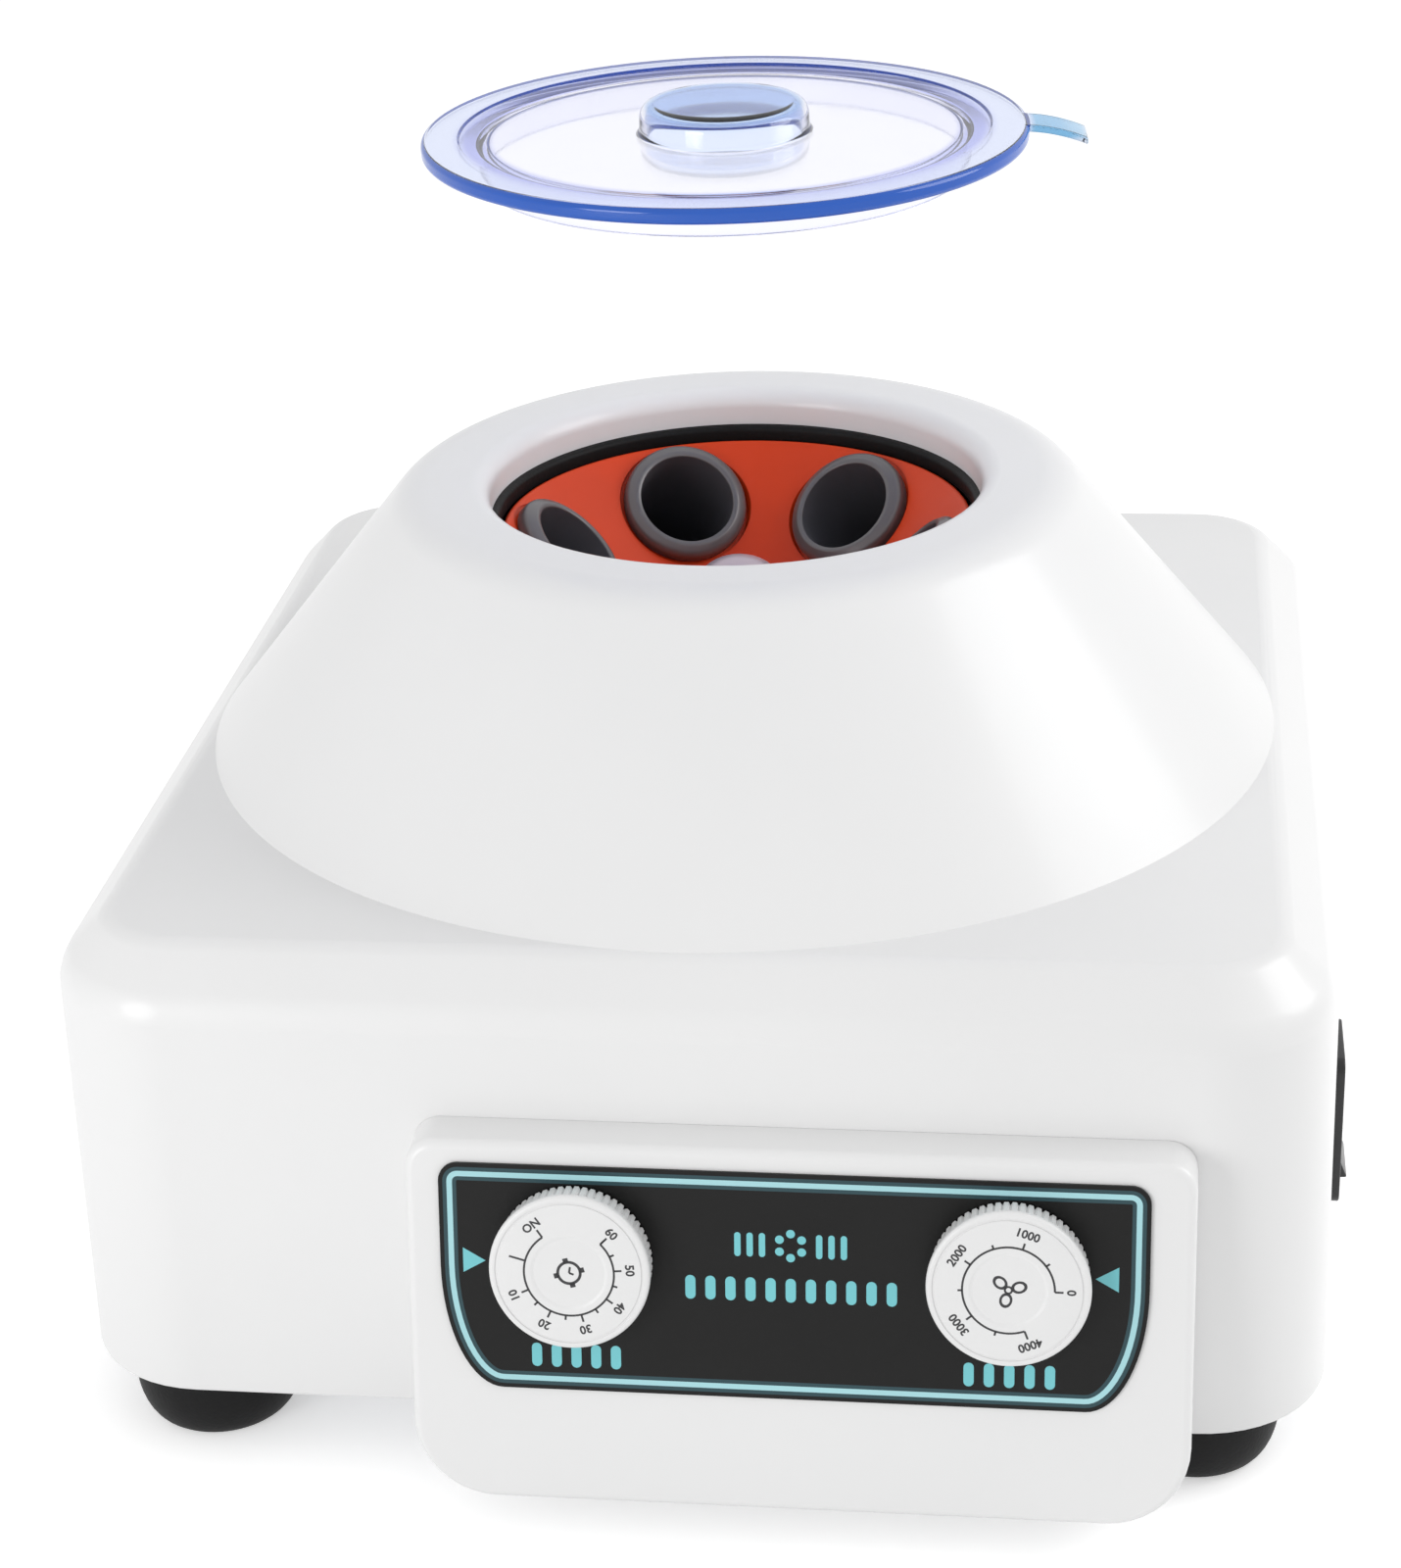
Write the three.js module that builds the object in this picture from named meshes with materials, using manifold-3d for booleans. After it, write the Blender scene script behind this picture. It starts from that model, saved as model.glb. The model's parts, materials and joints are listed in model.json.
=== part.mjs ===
// Benchtop centrifuge: six-place angle rotor under a conical cover, lift-off lid, two front dials.
// Millimetres, +Z up, the front faces -Y. The origin is on the bench, under the middle of the box
// that holds the whole machine with its lid held above the rim.
import * as THREE from "three";
import { mergeVertices } from "three/addons/utils/BufferGeometryUtils.js";
import Module from "manifold-3d";

const wasm = await Module();
wasm.setup();

const radians = THREE.MathUtils.degToRad;

// Gaps between pieces and overrun of cutting shapes
const OVERRUN = 1;
const SEAT = 0.1;
const FIT = 0.3;

// Sleeves that hold the tubes, seated in the funnel of the rotor
const SLEEVE_COUNT = 6;
const SLEEVE_TILT = radians(45);
const FIRST_SLEEVE_TURN = radians(-5);
const SLEEVE_SEAT_R = 41.3;
const SLEEVE_BORE_R = 11.2;
const SLEEVE_WALL = 1.3;
const SLEEVE_LENGTH = 84;
const SLEEVE_FLANGE_R = 14.8;
const SLEEVE_FLANGE_HEIGHT = 4;
const SLEEVE_LIP = 0.7;

// Rotor dish, its hub and the nut on the spindle
const DISH_WALL = 3.5;
const DISH_RIM_MARGIN = 2.4;
const DISH_FLOOR_MARGIN = 3.2;
const DISH_SEAT_SINK = 0.6;
const GUIDE_WALL = 2.2;
const GUIDE_LENGTH = 22;
const DISH_RIB_THICKNESS = 3;
const DISH_RIB_DROP = 6;
const DISH_BOSS_WALL = 5;
const DISH_BOSS_LENGTH = 18;
const HUB_WALL = 4.7;
const HUB_FLANGE_WIDTH = 4;
const HUB_FLANGE_HEIGHT = 3;
const HUB_TAIL = 2;
const SHAFT_R = 4;
const NUT_R = 10.4;
const NUT_HEIGHT = 11;
const NUT_SKIRT = 3;
const NUT_THREAD_DEPTH = 7;

// Rubber feet and the screws through them
const FOOT_HEIGHT = 15;
const FOOT_TOP_R = 18.5;
const FOOT_BOTTOM_R = 13;
const FOOT_EDGE = 3.5;
const FOOT_INSET_X = 28;
const FOOT_INSET_Y = 20;
const FOOT_RECESS_R = 6.5;
const FOOT_RECESS_DEPTH = 7;
const SCREW_R = 2;
const SCREW_HEAD_R = 4;
const SCREW_HEAD_HEIGHT = 2.6;
const SCREW_GRIP = 10;
const SCREW_CROWN_SHARE = 0.7;

// Body shell
const WALL = 3;
const DRAFT = 0.65;
const BEVEL = 10.9;
const EDGE_EASE = 3;
const CORNER_R = 28;
const EXTRA_DEPTH = 10.8;
const DECK_MARGIN = 0.15;
const CONE_FRONT_MARGIN = 0.85;
const CONE_SETOUT = 10.1;
const RIM_BAND = 19;
const RIM_FILLET = 12;
const RIM_HEADROOM = 10.7;
const LIP_DEPTH = 8.5;
const LIP_ROUND = 4.5;
const ROTOR_GAP = 3;
const POST_R = 6;
const POST_WEB = 2.5;
const VENT_COUNT = 7;
const VENT_LENGTH = 56;
const VENT_HEIGHT = 3;
const VENT_PITCH = 7;
const VENT_SIDE_OFFSET = 62;
const VENT_LOW_Z = 22;

// Base plate
const PLATE_THICKNESS = 1.5;
const PLATE_SLOT_COUNT = 12;
const PLATE_SLOT_LENGTH = 16;
const PLATE_SLOT_WIDTH = 4;
const PLATE_SLOT_RING_R = 24;

// Guard bowl round the rotor
const UNDER_BOWL = 65;
const BOWL_DEPTH = 36.1;
const BOWL_THICKNESS = 1.2;
const BOWL_FLANGE = 3.5;
const BOWL_CLEARANCE = 7.6;
const BOWL_BEND = 4;
const BOWL_HOLE_MARGIN = 6;
const BOWL_COLLAR = 5;
const SLEEVE_FLOOR_CLEARANCE = 12;
const PILLAR_R = 4;
const PILLAR_RING_R = 75;

// Black rubber trim under the lip of the opening
const TRIM_REACH = 1.2;
const TRIM_DROP = 4.2;
const TRIM_COLLAR_WALL = 2.4;
const TRIM_COLLAR_RISE = 1.6;

// Motor on its rubber mounts
const MOTOR_R = 32;
const MOTOR_LENGTH = 66;
const MOTOR_CAP_LIP = 1.5;
const MOTOR_CAP_HEIGHT = 9;
const MOTOR_BOSS_WALL = 3;
const MOTOR_BOSS_HEIGHT = 8;
const MOTOR_SLOT_COUNT = 8;
const MOTOR_SLOT_WIDTH = 6;
const MOTOR_SLOT_DEPTH = 5;
const MOTOR_PLATE_THICKNESS = 2.5;
const MOTOR_EAR_REACH = 12;
const BEARING_WALL = 5;
const BEARING_HEIGHT = 6;
const DAMPER_COUNT = 3;
const DAMPER_R = 8;
const DAMPER_WAIST = 2;
const DAMPER_HEIGHT = 11;
const DAMPER_TURN = radians(90);

// Speed control board
const BOARD_WIDTH = 48;
const BOARD_DEPTH = 80;
const BOARD_THICKNESS = 1.6;
const BOARD_STANDOFF = 8;
const BOARD_STANDOFF_R = 3;
const BOARD_EDGE = 5;
const BOARD_GAP = 6;
const HEATSINK_HEIGHT = 24;
const HEATSINK_WIDTH = 22;
const HEATSINK_DEPTH = 34;
const HEATSINK_FINS = 5;
const HEATSINK_FIN_SHARE = 0.55;
const CAPACITOR_R = 6;
const CAPACITOR_HEIGHT = 20;
const TERMINAL_HEIGHT = 10;
const TERMINAL_WIDTH = 8;
const TERMINAL_LENGTH = 42;

// Control housing on the front wall
const HOUSING_SIDE_MARGIN = 28.8;
const HOUSING_WIDTH = 160.4;
const HOUSING_TOP_Z = 85.9;
const HOUSING_HEIGHT = 77.6;
const HOUSING_PROUD = 9.6;
const HOUSING_LEAN = Math.atan(0.18);
const HOUSING_TOP_CORNER_R = 6;
const HOUSING_LOW_CORNER_R = 17;
const HOUSING_EDGE_R = 3;
const HOUSING_BOSS_R = 4;
const HOUSING_SCREW_DROP = 40;
const WINDOW_MARGIN = 3;
const WINDOW_CORNER_R = 5;

// Dark label plate and the two dials on it
const LABEL_SIDE_MARGIN = 8.1;
const LABEL_HEIGHT = 49;
const LABEL_DROP = 4.2;
const LABEL_SHIFT = -1;
const LABEL_THICKNESS = 0.6;
const LABEL_TOP_CORNER_R = 4;
const LABEL_SWEEP_X = 12.5;
const LABEL_SWEEP_Y = 27;
const DIAL_INSET = 27.9;
const DIAL_DROP = 24.2;
const BUSH_R = 4.5;
const BUSH_NUT_R = 7;
const BUSH_NUT_HEIGHT = 2;
const BUSH_NUT_SIDES = 6;
const DIAL_SHAFT_R = 3;
const KNOB_R = 16.5;
const KNOB_HEIGHT = 7.5;
const KNOB_SHADOW_GAP = 0.6;
const KNOB_FACE_DEPTH = 1.6;
const KNOB_FACE_ROUND = 0.5;
const KNOB_GROOVE_SHARE = 0.91;
const KNOB_GROOVE_WIDTH = 0.5;
const KNOB_GROOVE_DEPTH = 0.3;
const KNURL_COUNT = 22;
const KNURL_STEP = 0.45;
const KNURL_DEPTH = 0.5;
const KNOB_SKIN = 2;
const KNOB_STEM_WALL = 2.5;
const TIMER_WIDTH = 40;
const TIMER_HEIGHT = 36;
const TIMER_DEPTH = 24;
const TIMER_EDGE = 3;
const POT_R = 12;
const POT_DEPTH = 12;
const POT_TAG_WIDTH = 14;
const POT_TAG_LENGTH = 6;
const POT_TAG_THICKNESS = 2;

// Rocker switch on the right wall
const SWITCH_FROM_FRONT = 52.4;
const SWITCH_Z = 64;
const SWITCH_HEIGHT = 35;
const SWITCH_WIDTH = 22;
const SWITCH_CORNER_R = 3;
const BEZEL_PROUD = 2.4;
const BEZEL_WIDTH = 2;
const SWITCH_POCKET_WALL = 1.5;
const SWITCH_BODY_DEPTH = 20;
const SWITCH_POCKET_DEPTH = 14;
const ROCKER_RISE = 2.4;
const ROCKER_DIP = 0.6;
const ROCKER_SHOULDER = 4;
const ROCKER_KEEL = 8;
const ROCKER_KEEL_SHARE = 0.42;
const ROCKER_TILT = radians(9);
const ROCKER_SINK = 0.3;
const ROCKER_PIN_R = 1.4;
const ROCKER_PIN_REACH = 0.8;

// Mains inlet on the rear wall
const INLET_SIDE_OFFSET = 80;
const INLET_Z = 46;
const INLET_FLANGE_HEIGHT = 22.5;
const INLET_FLANGE_PROUD = 2.6;
const INLET_BODY_WIDTH = 27.4;
const INLET_BODY_HEIGHT = 19.8;
const INLET_BODY_DEPTH = 18;
const INLET_CORNER = 4;
const INLET_WALL = 1.6;
const INLET_SOCKET_DEPTH = 16;
const INLET_PIN_WIDTH = 2;
const INLET_PIN_HEIGHT = 4;
const INLET_PIN_LENGTH = 13;
const INLET_PIN_SPREAD = 7;
const INLET_PIN_STEP = 2;
const INLET_SCREW_SPACING = 40;
const INLET_SCREW_MARGIN = 5;
const INLET_SCREW_R = 1.6;
const INLET_SCREW_HEAD_R = 3;
const INLET_SCREW_HEAD_HEIGHT = 1.8;
const INLET_SCREW_LENGTH = 7;

// Lift-off lid, drawn held above the rim
const LID_LIFT = 75.8;
const LID_FLANGE = 10.3;
const LID_THICKNESS = 3.5;
const LID_PLUG_GAP = 2.2;
const LID_PLUG_WALL = 1.8;
const LID_PLUG_DEPTH = 6;
const LID_FLOOR_THICKNESS = 2.2;
const LID_FLOOR_DROP = 0.8;
const LID_BAND_STEP = 0.4;
const LID_BAND_WIDTH = 4.5;
const LID_EDGE_ROUND = 1.2;
const LID_GRIP_R = 18.7;
const LID_GRIP_RISE = 5.8;
const LID_GRIP_EASE = 3;
const LID_TAB_LENGTH = 12.5;
const LID_TAB_WIDTH = 11;
const LID_TAB_THICKNESS = 1.6;
const LID_TAB_DROOP = 3.2;
const LID_TAB_STEPS = 6;
const LID_TAB_TURN = radians(5);

// Steps of round shapes
const CONE_STEPS = 30;
const BOWL_STEPS = 20;
const DISH_STEPS = 24;
const SLEEVE_STEPS = 12;
const KNOB_STEPS = 18;
const LID_STEPS = 30;
const FOOT_STEPS = 12;
const PIN_STEPS = 8;
const CORNER_STEPS = 4;
const ROUND_STEPS = 3;
const EDGE_STEPS = 2;

// Places that follow from the sizes above, worked out from the rotor outwards
const sleeveOuterR = SLEEVE_BORE_R + SLEEVE_WALL;
const sleeveArm = SLEEVE_LENGTH - sleeveOuterR;
const sleeveReach = SLEEVE_SEAT_R + sleeveArm * Math.sin(SLEEVE_TILT) + sleeveOuterR;
const sleeveDrop = sleeveArm * Math.cos(SLEEVE_TILT) + sleeveOuterR;
const bowlFloorZ = FOOT_HEIGHT + UNDER_BOWL;
const sleeveSeatZ = bowlFloorZ + SLEEVE_FLOOR_CLEARANCE + sleeveDrop;
const rimSlope = SLEEVE_FLANGE_R + DISH_RIM_MARGIN;
const floorSlope = SLEEVE_FLANGE_R + DISH_FLOOR_MARGIN;
const coneR = SLEEVE_SEAT_R - DISH_SEAT_SINK * Math.sin(SLEEVE_TILT);
const coneZ = sleeveSeatZ + DISH_SEAT_SINK * Math.cos(SLEEVE_TILT);
const rotorRimR = coneR + rimSlope * Math.cos(SLEEVE_TILT);
const rotorRimZ = coneZ + rimSlope * Math.sin(SLEEVE_TILT);
const rotorFloorR = coneR - floorSlope * Math.cos(SLEEVE_TILT);
const rotorFloorZ = coneZ - floorSlope * Math.sin(SLEEVE_TILT);
const rimZ = rotorRimZ + RIM_HEADROOM;
const openingR = rotorRimR + ROTOR_GAP;
const bowlR = sleeveReach + BOWL_CLEARANCE;
const bowlTopZ = bowlFloorZ + BOWL_DEPTH;
const deckZ = bowlTopZ + SEAT + WALL;
const shoulderZ = deckZ - BEVEL;
const coneBaseR = bowlR + BOWL_THICKNESS + CONE_SETOUT;
const deckHalfX = coneBaseR + DECK_MARGIN;
const baseHalfX = deckHalfX + BEVEL + DRAFT;
const baseHalfY = baseHalfX + EXTRA_DEPTH / 2;
const deckHalfY = baseHalfY - DRAFT - BEVEL;
const spindleY = coneBaseR + CONE_FRONT_MARGIN - deckHalfY;
const plateTopZ = FOOT_HEIGHT + PLATE_THICKNESS;
const footX = baseHalfX - FOOT_INSET_X;
const footY = baseHalfY - FOOT_INSET_Y;
const motorPlateZ = plateTopZ + SEAT + DAMPER_HEIGHT + SEAT;
const motorBaseZ = motorPlateZ + MOTOR_PLATE_THICKNESS + SEAT;
const motorTopZ = motorBaseZ + MOTOR_LENGTH;
const damperRingR = MOTOR_R + DAMPER_R;
const shaftTopZ = rotorFloorZ + HUB_FLANGE_HEIGHT + SEAT + NUT_THREAD_DEPTH - FIT;
const hubBottomZ = rotorFloorZ - DISH_BOSS_LENGTH;

// Width and depth of the shell shrink with height by the draft of its walls
const draftAt = (z) => (DRAFT * (z - FOOT_HEIGHT)) / (shoulderZ - FOOT_HEIGHT);

const paint = (color, roughness, metalness = 0, opacity = 1) =>
  new THREE.MeshStandardMaterial({
    color,
    roughness,
    metalness,
    opacity,
    transparent: opacity < 1,
  });

const finishes = {
  whiteShell: paint(0xf2f2f2, 0.25),
  blackTrim: paint(0x111113, 0.6),
  footRubber: paint(0x141414, 0.75),
  zincSteel: paint(0xb9bcc0, 0.35, 0.9),
  darkSteel: paint(0x55585c, 0.4, 0.9),
  orangeRotor: paint(0xd2451f, 0.4),
  greySleeve: paint(0x4a494f, 0.35),
  nutGrey: paint(0xbcb0ba, 0.35, 0.3),
  labelBlack: paint(0x232427, 0.4),
  knobWhite: paint(0xeeeeee, 0.35),
  switchBlack: paint(0x0c0c0c, 0.3),
  timerCase: paint(0xd8d2c0, 0.5),
  boardGreen: paint(0x2c6a3e, 0.6),
  brass: paint(0xc9a552, 0.3, 0.9),
  lidBlue: paint(0xbfcdf2, 0.1, 0, 0.5),
};

// From a closed three.js geometry to a solid that can be joined and cut
function solid(geometry) {
  const bare = geometry.clone();
  bare.deleteAttribute("normal");
  bare.deleteAttribute("uv");
  const merged = mergeVertices(bare);
  return new wasm.Manifold(
    new wasm.Mesh({
      numProp: 3,
      vertProperties: merged.attributes.position.array,
      triVerts: new Uint32Array(merged.index.array),
    }),
  );
}

const join = (...solids) => solids.reduce((all, next) => all.add(next));
const cut = (body, ...tools) => tools.reduce((left, tool) => left.subtract(tool), body);

// A named piece with its own material
function piece(name, body, finish) {
  const found = body.getMesh();
  const geometry = new THREE.BufferGeometry();
  geometry.setAttribute("position", new THREE.BufferAttribute(found.vertProperties, 3));
  geometry.setIndex(new THREE.BufferAttribute(found.triVerts, 1));
  const mesh = new THREE.Mesh(geometry, finish.clone());
  mesh.name = name;
  return mesh;
}

// Basic solids, each placed by its middle unless it is named for its foot
const block = (x, y, z, sizeX, sizeY, sizeZ) =>
  solid(new THREE.BoxGeometry(sizeX, sizeY, sizeZ).translate(x, y, z));

const upright = (x, y, lowZ, highZ, radius, steps = PIN_STEPS) =>
  solid(
    new THREE.CylinderGeometry(radius, radius, highZ - lowZ, steps)
      .rotateX(Math.PI / 2)
      .translate(x, y, (lowZ + highZ) / 2),
  );

// A bore that clears a round shaft even where the bore's facets come closest
const boreFor = (radius, steps = PIN_STEPS) => (radius + FIT) / Math.cos(Math.PI / steps);

// A turned solid from [radius, height] points that run anticlockwise round the section
function turned(points, steps) {
  const profile = points.map(([r, z]) => new THREE.Vector2(r, z));
  return solid(new THREE.LatheGeometry(profile, steps).rotateX(Math.PI / 2));
}

const ring = (points, steps) => turned([...points, points[0]], steps);

// Points of an arc round a centre, both ends included
function arc(centreR, centreZ, radius, from, to, steps) {
  return Array.from({ length: steps + 1 }, (_, i) => {
    const angle = from + ((to - from) * i) / steps;
    return [centreR + radius * Math.cos(angle), centreZ + radius * Math.sin(angle)];
  });
}

// Anticlockwise outline of a box with rounded corners, low corners first
function roundedOutline(halfX, halfY, lowR, highR = lowR) {
  const corner = (x, y, r, start) => {
    const used = Math.max(Math.min(r, halfX, halfY), SEAT);
    return arc(x * (halfX - used), y * (halfY - used), used, start, start + Math.PI / 2, CORNER_STEPS);
  };
  return [
    ...corner(-1, -1, lowR, Math.PI),
    ...corner(1, -1, lowR, -Math.PI / 2),
    ...corner(1, 1, highR, 0),
    ...corner(-1, 1, highR, Math.PI / 2),
  ];
}

// A solid through a stack of loops with equally many points, closed by flat ends
function lofted(loops) {
  const count = loops[0].length;
  const positions = loops.flat().flatMap((p) => [p.x, p.y, p.z]);
  const faces = [];
  for (let level = 0; level < loops.length - 1; level += 1) {
    for (let i = 0; i < count; i += 1) {
      const next = (i + 1) % count;
      const low = level * count;
      const high = low + count;
      faces.push(low + i, low + next, high + next, low + i, high + next, high + i);
    }
  }
  const last = (loops.length - 1) * count;
  for (let i = 1; i < count - 1; i += 1) {
    faces.push(0, i + 1, i, last, last + i, last + i + 1);
  }
  const geometry = new THREE.BufferGeometry();
  geometry.setAttribute("position", new THREE.Float32BufferAttribute(positions, 3));
  geometry.setIndex(faces);
  return solid(geometry);
}

// A rounded box with its own half sizes, corner radius and height at each level
const stacked = (levels) =>
  lofted(
    levels.map(([halfX, halfY, radius, z]) =>
      roundedOutline(halfX, halfY, radius).map(([x, y]) => new THREE.Vector3(x, y, z)),
    ),
  );

// An outline pushed along Z, from the outline's own plane upwards
function pushed(outline, height, holes = []) {
  const shape = new THREE.Shape(outline.map(([x, y]) => new THREE.Vector2(x, y)));
  shape.holes = holes.map((h) => new THREE.Path(h.map(([x, y]) => new THREE.Vector2(x, y))));
  return new THREE.ExtrudeGeometry(shape, { depth: height, bevelEnabled: false });
}

const circle = (x, y, radius, steps = PIN_STEPS) =>
  arc(x, y, radius, 0, 2 * Math.PI, steps).slice(0, -1);

// An outline set through a wall that faces along X or along Y, centred in the wall
const throughX = (outline, x, y, z, span) =>
  solid(
    pushed(outline, span).rotateX(Math.PI / 2).rotateZ(Math.PI / 2).translate(x - span / 2, y, z),
  );

const throughY = (outline, x, y, z, span) =>
  solid(pushed(outline, span).rotateX(Math.PI / 2).translate(x, y + span / 2, z));

// A round hole or pin along Y
const acrossY = (x, y, z, radius, span) =>
  solid(new THREE.CylinderGeometry(radius, radius, span, PIN_STEPS).translate(x, y, z));

// The housing keeps its distance from the right side, and the label and the dials follow its width
const panelShift = baseHalfX - HOUSING_SIDE_MARGIN - HOUSING_WIDTH / 2;
const labelWidth = HOUSING_WIDTH - 2 * LABEL_SIDE_MARGIN;
const dialSpacing = labelWidth - 2 * DIAL_INSET;

// Frame of the leaning front panel: x to the right, y up the face, z out of the face.
// Its zero is the top edge of the face, above the middle of the control housing.
const panelFrame = new THREE.Matrix4()
  .makeTranslation(panelShift, -baseHalfY - HOUSING_PROUD, HOUSING_TOP_Z)
  .multiply(new THREE.Matrix4().makeRotationX(Math.PI / 2 - HOUSING_LEAN));
const dialX = (side) => LABEL_SHIFT + (side * dialSpacing) / 2;
const timerX = dialX(-1);
const speedX = dialX(1);

// Control housing sizes
const housingMidZ = HOUSING_TOP_Z - HOUSING_HEIGHT / 2;
const dialWallGap = HOUSING_PROUD + DIAL_DROP * Math.sin(HOUSING_LEAN);
const dialWallZ =
  HOUSING_TOP_Z - DIAL_DROP * Math.cos(HOUSING_LEAN) - dialWallGap * Math.tan(HOUSING_LEAN);
const windowHalfX = (dialSpacing + TIMER_WIDTH) / 2 + WINDOW_MARGIN;
const windowHalfZ = Math.max(TIMER_HEIGHT / 2, POT_R + POT_TAG_LENGTH) + WINDOW_MARGIN;
const housingScrewX = HOUSING_WIDTH / 2 - WALL - HOUSING_BOSS_R / 2;
const housingScrewZ = HOUSING_TOP_Z - HOUSING_SCREW_DROP;
const housingScrewXs = [panelShift - housingScrewX, panelShift + housingScrewX];

// Rotor sleeves: the frame of one seat, x out from the spindle, z out of the sleeve's mouth
function sleeveFrame(index) {
  const turn = FIRST_SLEEVE_TURN + (index * 2 * Math.PI) / SLEEVE_COUNT;
  return new THREE.Matrix4()
    .makeRotationZ(turn)
    .multiply(new THREE.Matrix4().makeTranslation(SLEEVE_SEAT_R, 0, sleeveSeatZ))
    .multiply(new THREE.Matrix4().makeRotationY(-SLEEVE_TILT));
}
const sleeveIndexes = Array.from({ length: SLEEVE_COUNT }, (_, i) => i);

// The shell: drafted walls, bevelled shoulder, deck and the cone up to the lip of the opening
const switchY = SWITCH_FROM_FRONT - baseHalfY;
const frontWallY = -baseHalfY + (WALL + DRAFT) / 2;
const rearWallY = baseHalfY - (WALL + DRAFT) / 2;
const wallSpan = WALL + DRAFT + 2 * OVERRUN;
const inletScrewXs = [-1, 1].map((side) => INLET_SIDE_OFFSET + (side * INLET_SCREW_SPACING) / 2);
const quarters = [-1, 1].flatMap((sideX) => [-1, 1].map((sideY) => [sideX, sideY]));

// Levels of the box below the cone, moved inwards by the wall for its hollow
function boxLevels(inset, lowZ) {
  const level = (halfX, halfY, radius, z) => [halfX - inset, halfY - inset, radius - inset, z];
  const shrink = DRAFT + EDGE_EASE / 4;
  const deckCornerR = CORNER_R - BEVEL;
  return [
    level(baseHalfX, baseHalfY, CORNER_R, lowZ),
    level(baseHalfX - DRAFT, baseHalfY - DRAFT, CORNER_R, shoulderZ - EDGE_EASE - inset / 2),
    level(
      baseHalfX - shrink,
      baseHalfY - shrink,
      CORNER_R - EDGE_EASE / 4,
      shoulderZ - EDGE_EASE / 4 - inset / 2,
    ),
    level(
      deckHalfX + EDGE_EASE,
      deckHalfY + EDGE_EASE,
      deckCornerR + EDGE_EASE,
      deckZ - EDGE_EASE - inset,
    ),
    level(
      deckHalfX + EDGE_EASE / 4,
      deckHalfY + EDGE_EASE / 4,
      deckCornerR + EDGE_EASE / 4,
      deckZ - EDGE_EASE / 4 - inset,
    ),
    level(deckHalfX - EDGE_EASE, deckHalfY - EDGE_EASE, deckCornerR - EDGE_EASE, deckZ - inset),
  ];
}

// Section of the cone: straight flank, round shoulder, flat rim and turned-in lip
function coneWall() {
  const rimOuterR = openingR + RIM_BAND;
  const flank = Math.atan2(rimZ - deckZ, coneBaseR - rimOuterR);
  const innerBaseR = coneBaseR - WALL / Math.sin(flank);
  const shoulder = (radius) =>
    arc(
      rimOuterR - RIM_FILLET * Math.tan(flank / 2),
      rimZ - RIM_FILLET,
      radius,
      Math.PI / 2 - flank,
      Math.PI / 2,
      ROUND_STEPS,
    );
  const lipTop = arc(
    openingR + LIP_ROUND,
    rimZ - LIP_ROUND,
    LIP_ROUND,
    Math.PI / 2,
    Math.PI,
    ROUND_STEPS,
  );
  const wall = ring(
    [
      [innerBaseR, deckZ - WALL],
      [coneBaseR, deckZ - WALL],
      [coneBaseR, deckZ],
      ...shoulder(RIM_FILLET),
      ...lipTop,
      [openingR, rimZ - LIP_DEPTH],
      [openingR + WALL, rimZ - LIP_DEPTH],
      [openingR + WALL, rimZ - WALL],
      ...shoulder(RIM_FILLET - WALL).reverse(),
    ],
    CONE_STEPS,
  );
  const hole = upright(0, 0, bowlTopZ, deckZ + OVERRUN, innerBaseR, CONE_STEPS);
  return [wall.translate([0, spindleY, 0]), hole.translate([0, spindleY, 0])];
}

// Corner posts that carry the foot screws, each webbed to its side wall
function cornerPosts() {
  const lowZ = plateTopZ + SEAT;
  const webLength = baseHalfX - DRAFT - WALL / 2 - footX;
  const webHeight = shoulderZ - BEVEL - lowZ;
  return quarters.flatMap(([sideX, sideY]) => [
    upright(sideX * footX, sideY * footY, lowZ, deckZ - WALL / 2, POST_R),
    block(
      sideX * (footX + webLength / 2),
      sideY * footY,
      lowZ + webHeight / 2,
      webLength,
      POST_WEB,
      webHeight,
    ),
  ]);
}

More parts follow.
